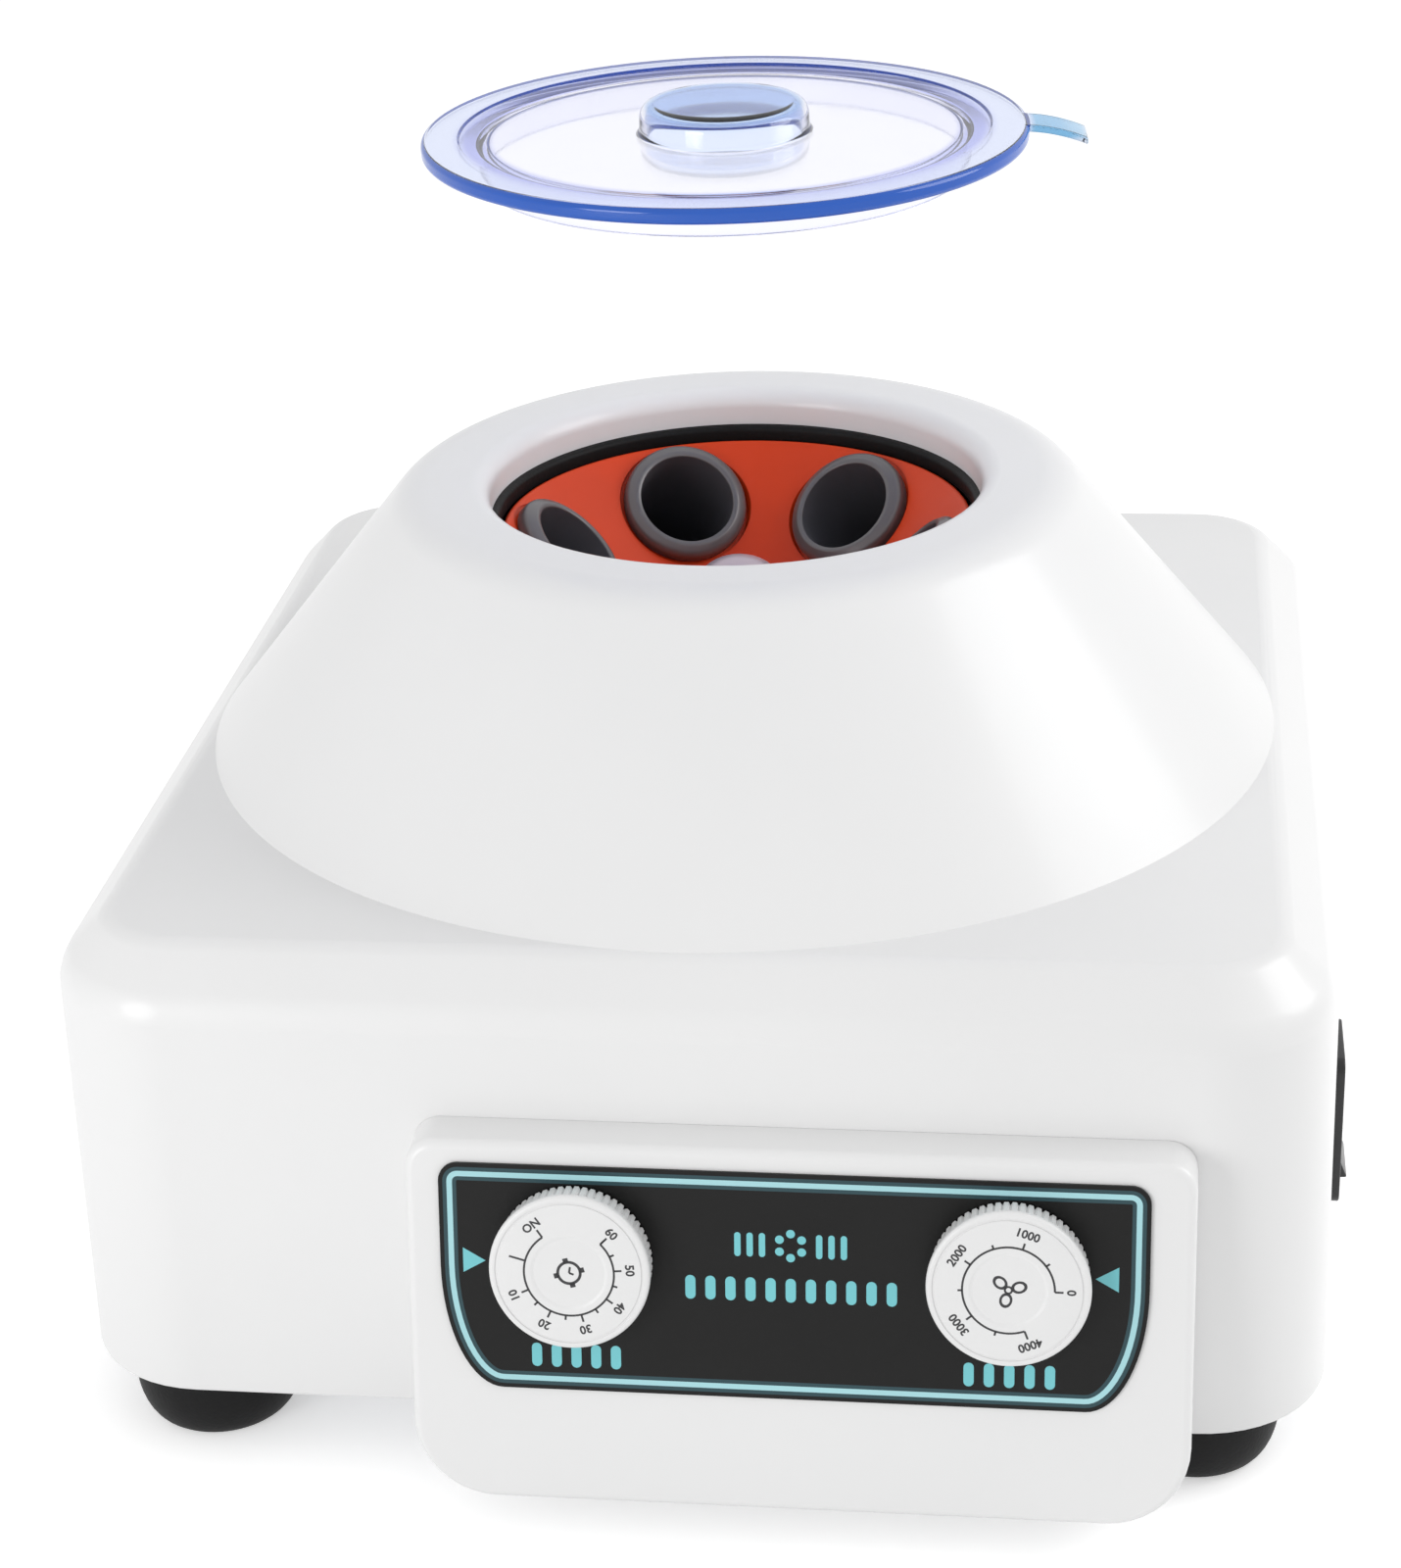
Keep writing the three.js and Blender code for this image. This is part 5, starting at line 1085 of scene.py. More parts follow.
class CENTRIFUGE_OT_label(PieceOperator, bpy.types.Operator):
    """Model the label plate with its bordered line, pointers and plain marks"""

    bl_idname = "centrifuge.label"
    bl_label = "Label Plate"

    def execute(self, context):
        s = context.scene.centrifuge_panel
        plate = self.plate(s)
        foil = {"tone_shift": 0.12, "tone_scale": 60.0, "bump": 0.05, "Specular_IOR_Level": 0.25}
        for material in (
            finish("label_foil", s.foil, 0.42, grain=1800.0, **foil),
            finish("label_border", s.border, 0.4, grain=1800.0),
            finish("label_line", s.line, 0.4, grain=1800.0),
        ):
            plate.data.materials.append(material)
        rings = ((s.line_inset, 0), (s.line_border, 1), (s.line_width, 2), (s.line_border, 1))
        with editing(plate):
            pick("FACE", lambda face: face.normal.z > 0.9)
            for width, index in (*rings, (0, 0)):
                plate.active_material_index = index
                bpy.ops.object.material_slot_assign()
                if width:
                    bpy.ops.mesh.inset(thickness=width, depth=0)
        rise = s.label_rise - s.label_height / 2
        seat(plate, panel_matrix() @ moved(0, rise, STAND_OFF))
        dressed(plate, "body", replaces=["label_plate"])
        top = STAND_OFF + s.label_thickness - s.print_rise / 2
        marks = seat(joined(self.marks(s)), panel_matrix() @ moved(z=top))
        print_ink = finish("label_marks", s.marks, 0.4, grain=1800.0)
        dressed(marks, "body", [print_ink])
        return {"FINISHED"}

    @staticmethod
    def plate(s):
        """The bare plate; its lower corners sweep wide because they are stretched upwards."""
        squash = s.sweep_width / s.sweep_height
        plate = card("label", s.label_width, s.label_height * squash)
        with editing(plate):
            pick("VERT", lambda vert: vert.co.y < 0)
            bevel(s.sweep_width, 16, "VERTICES")
            pick_all()
            bpy.ops.transform.resize(value=(1, 1 / squash, 1), center_override=ORIGIN)
            pick("VERT", lambda vert: near(vert.co.y, s.label_height / 2))
            bevel(s.label_corner, 8, "VERTICES")
            pick_all()
            push((0, 0, s.label_thickness))
        return tidy(plate)

    @staticmethod
    def marks(s):
        """Pointers beside the dials, a ring of dots, and rows of plain bars."""

        def stamp(x, y, radius, corners, turn=0.0):
            """A flat dot or pointer."""
            return start(
                "mark",
                bpy.ops.mesh.primitive_cylinder_add,
                vertices=corners,
                radius=radius,
                depth=s.print_rise,
                location=(x, y, s.print_rise / 2),
                rotation=(0, 0, turn),
            )

        marks = [stamp(x, y, s.pointer, 3, turn) for x, y, turn in LABEL_POINTERS]
        for i in range(6):
            angle = TURN * i / 6 + TURN / 12
            x, y = s.ring * math.cos(angle), s.ring_rise + s.ring * math.sin(angle)
            marks.append(stamp(x, y, s.dot, 32))
        for x, y, total, pitch, width, height in LABEL_BARS:
            bar = pill("mark", width, height, s.print_rise, 4)
            for i in range(total):
                shift = (i - (total - 1) / 2) * pitch
                marks.append(copied(bar, "mark", moved(x + shift, y)))
            bpy.data.objects.remove(bar)
        return marks


class CENTRIFUGE_OT_dials(PieceOperator, bpy.types.Operator):
    """Model both dial knobs with their knurls and printed scales"""

    bl_idname = "centrifuge.dials"
    bl_label = "Dials"

    def execute(self, context):
        s = context.scene.centrifuge_dials
        label_top = STAND_OFF + context.scene.centrifuge_panel.label_thickness
        top = label_top + s.rise
        knob = self.knob(s, label_top + s.gap, top)
        skin = {"tone_shift": 0.015, "grain": 1600.0, "bump": 0.05, "dust": 0.03}
        plastic = finish("dial_plastic", s.tone, 0.36, **skin)
        ink = finish("dial_ink", s.ink, 0.5, grain=1600.0)
        for name, face, scale in (
            ("timer", TIMER_FACE, self.timer_print(s)),
            ("speed", SPEED_FACE, self.speed_print(s)),
        ):
            place = panel_matrix(face)
            twin = copied(knob, f"{name}_dial", place)
            dressed(twin, f"{name}_dial", [plastic], [f"{name}_knob"], 35)
            marks = seat(joined(scale), place @ moved(z=top - s.print_rise))
            marks.name = f"{name}_dial_print"
            dressed(marks, f"{name}_dial", [ink])
        bpy.data.objects.remove(knob)
        return {"FINISHED"}

    @staticmethod
    def knob(s, low, top):
        """A knurled skirt under a smooth face with a rounded lip, a fine ring and a dish."""
        columns = 4 * s.knurls
        step = TURN / columns
        face_low = top - s.face_depth
        overlap, small, fine, soft = 0.0002, 0.0003, 0.0001, 0.001
        crest = s.radius - s.knurl_depth * 0.6
        skirt = rod("knob", crest, (0, 0, low), face_low + overlap, columns)

        def in_groove(vert):
            return round(math.atan2(vert.co.y, vert.co.x) / step) % 4 == 0

        with editing(skirt):
            pick("VERT", in_groove)
            share = 1 - s.knurl_depth / s.radius
            bpy.ops.transform.resize(value=(share, share, 1), center_override=(0, 0, low))
        inner, outer = (s.groove_radius + side * s.groove_width / 2 for side in (-1, 1))
        section = softened(
            [
                (0, face_low),
                (s.radius - small, face_low),
                (s.radius, face_low + small),
                (s.radius, top, s.lip_round),
                (outer, top, fine),
                (outer, top - s.groove_depth),
                (inner, top - s.groove_depth),
                (inner, top, fine),
                (s.dish_radius, top, soft),
                (s.dish_radius - 3 * s.dish_depth, top - s.dish_depth, soft),
                (0, top - s.dish_depth),
            ],
            6,
            closed=False,
        )
        unite(skirt, spun("face", section, 160, ORIGIN, closed=False))
        rim, hollow, shaft, past = 0.003, 0.0018, 0.0034, 0.001
        recess = rod("recess", s.radius - rim, (0, 0, low - past), low + hollow, 64)
        socket = rod("socket", shaft, (0, 0, low), top - hollow, 32)
        return cut(skirt, recess, socket)

    @staticmethod
    def arc(s, radius, width, low=0.0, high=TURN, steps=32):
        """A printed arc, made by a spin that runs back from its high end to its low end."""
        strip = card("ink", width, s.print_rise)
        seat(strip, turned(high) @ moved(radius, 0, s.print_rise) @ turned(QUARTER, "X"))
        with editing(strip):
            pick_all()
            bpy.ops.mesh.spin(steps=steps, angle=high - low, center=ORIGIN, axis=UP)
        return tidy(strip)

    @staticmethod
    def bar(s, inner, outer, half_width, angle, low=0.0):
        """A printed bar that points outwards."""
        corners = (inner, -half_width, low), (outer, half_width, s.print_rise * 1.5)
        return seat(cube("ink", *corners), turned(angle))

    def tick(self, s, angle, reach):
        """A printed tick that stands on the arc."""
        inner = s.scale_radius
        return self.bar(s, inner, inner + reach, s.stroke / 2, angle, s.print_rise / 2)

    @staticmethod
    def figure(s, text, angle):
        """A number that faces outwards along the scale."""
        place = turned(angle) @ moved(s.figure_radius, 0, s.print_rise) @ turned(-QUARTER)
        return lettering("ink", text, s.figure_size, place, s.print_rise, s.stroke / 6)

    @staticmethod
    def sunk(s, sign):
        """The sign in the middle, set down on the dished face."""
        return seat(joined(sign), moved(z=-s.dish_depth))

    def timer_print(self, s):
        """Minutes from 10 to 60, the on position and a plain clock sign."""
        end_tick, on_tick, long_tick, short_tick = 0.0019, 0.0034, 0.0016, 0.001
        five_minutes = math.radians(20)
        first, last = s.timer_first, s.timer_first + s.timer_sweep
        ink = [self.arc(s, s.scale_radius, s.stroke, first, last, 72)]
        ink += [self.tick(s, angle, end_tick) for angle in (first, last)]
        ink.append(self.tick(s, first + math.radians(40), on_tick))
        for i in range(11):
            angle = last - five_minutes * i
            ink.append(self.tick(s, angle, short_tick if i % 2 else long_tick))
            if i % 2 == 0:
                ink.append(self.figure(s, str(60 - 5 * i), angle))
        ink.append(self.figure(s, "ON", first + math.radians(2)))
        ring, lug, long_hand, short_hand = 0.0023, 0.0009, 0.0013, 0.001
        sign = [self.arc(s, ring, s.stroke * 1.4, steps=48)]
        for i in range(4):
            angle = math.radians(15) + QUARTER * i
            sign.append(self.bar(s, ring, ring + lug, s.stroke * 1.3, angle))
        for degrees, reach in ((80, long_hand), (-20, short_hand)):
            sign.append(self.bar(s, 0, reach, s.stroke / 2, math.radians(degrees)))
        return [*ink, self.sunk(s, sign)]

    def speed_print(self, s):
        """Steps of 1000 up to 4000 and a plain sign of a turning rotor."""
        first_tick, last_tick, long_tick, short_tick = 0.0017, 0.0018, 0.0014, 0.0009
        step = s.speed_sweep / 8
        ink = [self.arc(s, s.scale_radius, s.stroke, 0, s.speed_sweep, 72)]
        ink += [self.tick(s, 0, first_tick), self.tick(s, s.speed_sweep, last_tick)]
        for i in range(1, 8):
            ink.append(self.tick(s, step * i, short_tick if i % 2 else long_tick))
        ink += [self.figure(s, str(1000 * i), 2 * step * i) for i in range(5)]
        hub, loop, reach, lean = 0.0007, 0.0011, 0.00225, 0.3
        oval = Matrix.Diagonal((1.2, 0.95, 1, 1))
        sign = [self.arc(s, hub, s.stroke)]
        for i in range(3):
            blade = self.arc(s, loop, s.stroke * 1.25)
            sign.append(seat(blade, turned(TURN * i / 3 + lean) @ moved(reach) @ oval))
        return [*ink, self.sunk(s, sign)]


def sleeve_matrix(s, index):
    """Frame of one sleeve's seat: x away from the spindle, z out of the mouth."""
    turn = s.first_turn + (index - 1) * TURN / len(SLEEVES)
    return about_spindle(turn) @ moved(s.seat_radius, 0, s.seat_height) @ turned(-s.tilt, "Y")


class CENTRIFUGE_OT_rotor_dish(PieceOperator, bpy.types.Operator):
    """Model the rotor's funnel with its sunk seats, guides, ribs and boss"""

    bl_idname = "centrifuge.rotor_dish"
    bl_label = "Rotor Dish"

    def execute(self, context):
        s = context.scene.centrifuge_rotor
        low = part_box("rotor_dish")[0].z
        boss = s.hub_bore + s.boss_wall
        under = s.floor_height - s.skin
        under_floor = s.floor + s.skin * math.tan(s.tilt / 2)
        under_rim = under + (s.rim - under_floor) * math.tan(s.tilt)
        section = [
            (s.hub_bore, low),
            (boss, low, 0.0006),
            (boss, under, 0.001),
            (under_floor, under, 0.002),
            (s.rim, under_rim),
            (s.rim, s.rim_height, 0.0008),
            (s.floor, s.floor_height, 0.004),
            (s.hub_bore, s.floor_height),
        ]
        funnel = spun("rotor_dish_face", softened(section, 5), 144)
        bite, lift = 0.0025, 0.003
        rib_root = boss - bite
        outline = [
            (rib_root, low + lift),
            (under_floor, under - s.rib_drop),
            (s.rim - s.skin, under_rim - s.skin - s.rib_drop),
            (s.rim - s.skin, under_rim),
            (under_floor, under + s.skin / 2),
            (rib_root, under + s.skin / 2),
        ]
        bore = s.bore + s.wall + s.clearance
        past, over = 0.002, 0.001
        guides, ribs, seats = [], [], []
        for i in SLEEVES:
            place = sleeve_matrix(s, i)
            foot = (0, 0, -s.guide_length)
            guides.append(seat(rod("guide", bore + s.guide_wall, foot, -s.skin / 2, 48), place))
            deeper = (0, 0, -s.guide_length - past)
            seats.append(seat(rod("seat", bore, deeper, over, 64), place))
            seats.append(seat(self.seat_cutter(s), place))
            turn = s.first_turn + (i - 0.5) * TURN / len(SLEEVES)
            ribs.append(seat(plated("rib", outline, s.rib), about_spindle(turn)))
        for added in (*guides, *ribs):
            unite(funnel, added)
        for tool in seats:
            cut(funnel, tool)
        skin = {"tone_shift": 0.04, "tone_scale": 45.0, "bump": 0.06, "Specular_IOR_Level": 0.3}
        orange = finish("rotor_moulding", s.tone, 0.42, **skin)
        dressed(funnel, "rotor", [orange], ["rotor_dish"], 30, flats=True)
        return {"FINISHED"}

    @staticmethod
    def seat_cutter(s):
        """A cutter for the sunk seat of a flange, flared at its mouth."""
        gap, flare, straight, top = 0.0008, 0.0016, 0.0012, 0.0062
        radius = s.flange + gap
        section = [(0, 0), (radius, 0), (radius, straight), (radius + flare, top), (0, top)]
        return spun("seat", section, 72, ORIGIN, closed=False)


class CENTRIFUGE_OT_sleeves(PieceOperator, bpy.types.Operator):
    """Model one sleeve and set six copies in the rotor"""

    bl_idname = "centrifuge.sleeves"
    bl_label = "Tube Sleeves"

    def execute(self, context):
        s = context.scene.centrifuge_rotor
        outer = s.bore + s.wall
        bottom = outer - s.sleeve_length
        top = s.clearance + s.flange_height
        crown = 0.0007
        lip = top + crown
        upper = [
            (outer, bottom),
            (outer, s.clearance, 0.0004),
            (s.flange, s.clearance, 0.0005),
            (s.flange, top - 0.0006, 0.0019),
            (outer - 0.0002, lip, 0.001),
            (s.bore, lip - 0.0003, 0.0004),
            (s.bore, bottom),
        ]
        section = [
            *curve_points(0, bottom, outer, -QUARTER, 0, 12),
            *softened(upper, 5, closed=False)[1:-1],
            *curve_points(0, bottom, s.bore, 0, -QUARTER, 10),
        ]
        sleeve = spun("sleeve", section, 72, ORIGIN, closed=False)
        skin = {"tone_shift": 0.05, "grain": 1800.0, "Metallic": 0.25}
        # The bore's darker finish is painted shade, because the deep bore gets little light.
        dark = {"tone_shift": 0.08, "grain": 1800.0}
        sleeve.data.materials.append(finish("sleeve_skin", s.sleeve_tone, 0.3, **skin))
        sleeve.data.materials.append(finish("sleeve_bore", s.bore_shade_tone, 0.3, **dark))
        # Faces inside the bore, below the lip, take the painted shade.
        for polygon in sleeve.data.polygons:
            middle = polygon.center
            if middle.to_2d().length < s.bore * 1.004 and middle.z < top - 0.0004:
                polygon.material_index = 1
        for i in SLEEVES:
            twin = copied(sleeve, f"rotor_sleeve_{i}", sleeve_matrix(s, i))
            dressed(twin, "rotor", replaces=[f"tube_sleeve_{i}"], angle=40)
        bpy.data.objects.remove(sleeve)
        return {"FINISHED"}


class CENTRIFUGE_OT_spindle_nut(PieceOperator, bpy.types.Operator):
    """Model the domed nut and the flanged hub under it"""

    bl_idname = "centrifuge.spindle_nut"
    bl_label = "Nut and Hub"

    def execute(self, context):
        s = context.scene.centrifuge_rotor
        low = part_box("rotor_nut")[0].z
        shoulder = low + s.nut_skirt
        rise = s.nut_height - s.nut_skirt
        angles = [QUARTER * i / 14 for i in range(14)]
        rim = softened([(s.nut_bore, low), (s.nut, low, 0.0005), (s.nut, shoulder)], 4, False)
        thread = 0.007
        blind = low + thread
        section = [
            (s.nut_bore, low),
            *rim[1:-1],
            *((s.nut * math.cos(a), shoulder + rise * math.sin(a)) for a in angles),
            (0, low + s.nut_height),
            (0, blind),
            (s.nut_bore, blind),
        ]
        nut = spun("spindle_nut", section, 96)
        skin = finish("nut_skin", s.nut_tone, 0.32, rings=0.0003, bump=0.1, Metallic=0.35)
        dressed(nut, "rotor", [skin], ["rotor_nut"], 40)
        hub_low, hub_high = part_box("rotor_hub")
        ledge = s.floor_height + STAND_OFF
        bore = s.nut_bore + STAND_OFF
        section = [
            (bore, hub_low.z),
            (s.hub, hub_low.z, 0.0005),
            (s.hub, ledge),
            (s.hub + s.hub_flange, ledge),
            (s.hub + s.hub_flange, hub_high.z, 0.0006),
            (bore, hub_high.z),
        ]
        hub = spun("rotor_hub_turned", softened(section, 4), 96)
        lathe = {"rings": 0.0002, "bump": 0.15, "Metallic": 0.95}
        steel = finish("turned_steel", linear(176, 178, 182), 0.3, **lathe)
        dressed(hub, "rotor", [steel], ["rotor_hub"], 40)
        return {"FINISHED"}


class CENTRIFUGE_OT_mouth_trim(PieceOperator, bpy.types.Operator):
    """Model the black trim under the lip and the guard bowl round the rotor"""

    bl_idname = "centrifuge.mouth_trim"
    bl_label = "Trim and Guard Bowl"

    def execute(self, context):
        s = context.scene.centrifuge_fittings
        low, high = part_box("opening_trim")
        outer = (high.x - low.x) / 2
        gap, shoulder, hem = 0.0006, 0.0024, 0.005
        inner = context.scene.centrifuge_rotor.rim + gap
        collar = outer - shoulder
        top = RIM_Z - context.scene.centrifuge_shell.lip_depth - STAND_OFF
        section = [
            (inner, low.z, 0.0008),
            (outer, low.z, 0.0006),
            (outer, high.z, 0.0006),
            (collar, high.z, 0.0004),
            (collar, top),
            (inner, top, 0.0012),
        ]
        trim = spun("mouth_trim", softened(section, 5), 180)
        dressed(trim, "body", [black_rubber()], ["opening_trim"], 40)
        low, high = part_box("guard_bowl")
        wall = (high.x - low.x) / 2 - s.bowl_flange
        inside = wall - s.bowl_sheet
        collar = s.bowl_hole + s.bowl_sheet
        bend = 0.0052
        fine = 0.0004
        section = [
            (s.bowl_hole, low.z, fine),
            (wall, low.z, bend),
            (wall, high.z - s.bowl_sheet, 2 * fine),
            (wall + s.bowl_flange, high.z - s.bowl_sheet),
            (wall + s.bowl_flange, high.z),
            (inside, high.z, 0.001),
            (inside, low.z + s.bowl_sheet, bend - s.bowl_sheet),
            (collar, low.z + s.bowl_sheet, fine),
            (collar, low.z + hem),
            (s.bowl_hole, low.z + hem),
        ]
        bowl = spun("guard_bowl_pressed", softened(section, 6), 144)
        dressed(bowl, "body", [dark_paint()], ["guard_bowl"], 40)
        return {"FINISHED"}


class CENTRIFUGE_OT_lid(PieceOperator, bpy.types.Operator):
    """Model the clear lid with its plug ring, sunk band, grip and lifting tab"""

    bl_idname = "centrifuge.lid"
    bl_label = "Lid"

    def execute(self, context):
        s = context.scene.centrifuge_lid
        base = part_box("lid")[0].z + s.plug_depth
        top = base + s.thickness
        inner = s.plug - s.plug_wall
        band = s.plug + s.band
        floor_top = top - s.floor_drop
        floor_low = floor_top - s.floor_thickness
        grip_top = top + s.grip_rise
        hollow = s.grip - s.grip_wall
        section = [
            (0, grip_top - s.grip_wall),
            (hollow, grip_top - s.grip_wall, 0.002),
            (hollow, floor_low, 0.0015),
            (inner, floor_low, 0.0008),
            (inner, base - s.plug_depth, 0.0004),
            (s.plug, base - s.plug_depth, 0.0006),
            (s.plug, base, 0.0008),
            (s.flange, base, s.edge),
            (s.flange, top, s.edge),
            (band, top, 0.0003),
            (band - s.band_step, top - s.band_step, 0.0003),
            (inner, floor_top, 0.002),
            (s.grip, floor_top, 0.0008),
            (s.grip - 0.0003, grip_top, 0.0033),
            (0, grip_top),
        ]
        lid = spun("lid_clear", softened(section, 8, closed=False), 180, closed=False)
        unite(lid, seat(self.tab(s, top), about_spindle(s.tab_turn)))
        # An opaque deep blue on the flange's edge is a painted glow of light carried through the
        # clear flange.
        edge = finish("lid_edge", s.edge_glow_tone, 0.12, tone_shift=0.05, grain=1500.0)
        dressed(lid, "cover", [self.acrylic(s, base), edge], ["lid"], 30, flats=True)
        rim = s.flange - s.edge * 0.7
        # Faces round the flange's edge take the painted glow.
        for polygon in lid.data.polygons:
            corners = [lid.data.vertices[i].co - SPINDLE for i in polygon.vertices]
            if all(rim < corner.to_2d().length < s.flange * 1.001 for corner in corners):
                polygon.material_index = 1
        return {"FINISHED"}

    @staticmethod
    def tab(s, top):
        """The lifting tab, bent down towards its tip."""
        root = s.flange - 2 * s.edge
        reach = s.tab_length + 2 * s.edge
        shares = [i / 12 for i in range(13)]
        over = [(root + reach * t, top - s.tab_droop * t * t) for t in shares]
        under = [(x, z - s.tab_thickness) for x, z in over]
        return eased(plated("tab", [*under, *reversed(over)], s.tab_width), 0.0005)

    @staticmethod
    def acrylic(s, base):
        """Clear blue plastic, tinted by place, that lets light fall through; the deeper tints over
        the flange, the sunk band and the grip are painted in place of the colour that light takes
        on through thicker plastic.
        """
        material, tree, surface = new_material("lid_plastic")
        clear_values = {"Transmission Weight": 1.0, "IOR": 1.46, "Metallic": 0.0}
        glass = node(tree, "BsdfPrincipled", clear_values)
        full = s.flange + s.tab_length
        share = sum_of(tree, "DIVIDE", reach_of(tree, place_of(tree, SPINDLE)), full)
        ramp = node(tree, "ValToRGB", {0: share})
        # Deeper tints by reach on the upper faces are the painted colour of light passing through
        # the thicker grip, plug ring and flange.
        tones = (
            (s.grip * 0.9, s.grip_painted_tint),
            (s.grip * 0.96, s.tone),
            (s.plug - 2 * s.plug_wall, s.tone),
            (s.plug - s.plug_wall / 2, s.band_painted_tint),
            (s.plug + s.band * 0.6, s.band_painted_tint),
            (s.plug + s.band * 1.3, s.flange_painted_tint),
            (s.flange, s.flange_painted_tint),
            (s.flange * 1.02, s.tab_tone),
        )
        stops = ramp.color_ramp.elements
        for _ in tones[2:]:
            stops.new(0.5)
        for stop, (reach, tone) in zip(stops, tones):
            stop.position = reach / full
            stop.color = (*tone, 1.0)
        place = place_of(tree)
        height = node(tree, "SeparateXYZ", {"Vector": place}).outputs["Z"]
        ends = {"From_Min": base - s.floor_drop, "From_Max": base + s.floor_drop}
        upper = mapped(tree, height, **ends)
        tint = blend(tree, upper, (*s.tone, 1), ramp.outputs["Color"])
        gloss = grouped(tree, "Soft Mottle", place, Scale=80.0, Low=0.03, High=0.06)
        feed(tree, glass, {"Base Color": tint, "Roughness": gloss})
        shadow = node(tree, "LightPath").outputs["Is Shadow Ray"]
        way = node(tree, "BsdfTransparent", {"Color": (0.985, 0.985, 0.986, 1.0)})
        shaders = {0: shadow, 1: glass.outputs["BSDF"], 2: way.outputs["BSDF"]}
        tree.links.new(node(tree, "MixShader", shaders).outputs["Shader"], surface)
        return material


class CENTRIFUGE_OT_power_switch(PieceOperator, bpy.types.Operator):
    """Model the switch frame, its rocker and the marks on it"""

    bl_idname = "centrifuge.power_switch"
    bl_label = "Power Switch"

    def execute(self, context):
        s = context.scene.centrifuge_fittings
        low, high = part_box("switch_frame")
        middle = (low + high) / 2
        wall_x = high.x - s.bezel_rise
        past, deep, corner, gap = 0.001, 0.014, 0.003, 0.0003
        width, height = s.switch_width, s.switch_height
        bezel = outlined("switch_bezel", width, height, corner, corner, s.bezel_rise, 6)
        seat(bezel, frame_matrix(Vector((wall_x, middle.y, middle.z)), BACK, UP, RIGHT))
        half_y = width / 2 - s.bezel
        half_z = height / 2 - s.bezel

        def box(name, x_low, x_high, inset):
            """A box behind the bezel's window."""
            y, z = half_y - inset, half_z - inset
            first = (x_low, middle.y - y, middle.z - z)
            return cube(name, first, (x_high, middle.y + y, middle.z + z))

        unite(bezel, box("case", low.x, wall_x + past, 0))
        cut(bezel, box("pocket", wall_x - deep, high.x + past, s.switch_skin))
        eased(bezel, 0.0006, 4)
        black = switch_plastic(s.black)
        dressed(bezel, "body", [black], ["switch_frame"])
        self.rocker(s, black, half_y - s.switch_skin - gap, half_z - s.switch_skin - 2 * gap)
        return {"FINISHED"}

    @staticmethod
    def rocker(s, black, half_y, half_z):
        """The rocker with two ridges and a soft hollow between them, tilted about its pin."""
        pivot = Vector(JOINTS["rocker_tilt"]["pos_m"])
        rise, dip = 0.0024, 0.0006
        heel, back = -0.004, -0.008
        reach = math.sqrt(half_z**2 - rise**2)
        outline = [
            (back, -reach * 0.42),
            (heel, -reach + dip),
            *((dip + (rise - dip) * (i / 8) ** 2, reach * i / 8) for i in range(-8, 9)),
            (heel, reach - dip),
            (back, reach * 0.42),
        ]
        rocker = eased(plated("rocker_cap", outline, 2 * half_y), 0.0005, 4)
        place = Matrix.Translation(pivot) @ turned(-s.rocker_tip, "Y")
        seat(rocker, place)
        dressed(rocker, "rocker", [black], ["power_rocker"])
        under, over = -0.0001, 0.00008
        bar = cube("mark", (under, -0.0004, -0.0022), (over, 0.0004, 0.0022))
        inner, outer = 0.0016, 0.0023
        section = [(inner, under), (outer, under), (outer, over), (inner, over)]
        ring = spun("mark", section, 40, ORIGIN)
        seat(ring, turned(QUARTER, "Y"))
        slope = math.atan2(rise - dip, reach * 0.9)
        height = dip + (rise - dip) * 0.36
        for mark, side in ((bar, 1), (ring, -1)):
            seat(mark, place @ moved(height, 0, side * reach * 0.6) @ turned(side * slope, "Y"))
        marks = joined([bar, ring])
        marks.name = "rocker_marks"
        white = finish("switch_mark", s.mark, 0.4, grain=1500.0)
        dressed(marks, "rocker", [white])


def set_out(piece, stem, node_stem, places, material):
    """Copies of one piece at their places, named by their ends; the piece is used up."""
    for end, place in places.items():
        twin = copied(piece, f"{stem}_{end}", place)
        dressed(twin, "body", [material], [f"{node_stem}_{end}"], 40)
    bpy.data.objects.remove(piece)


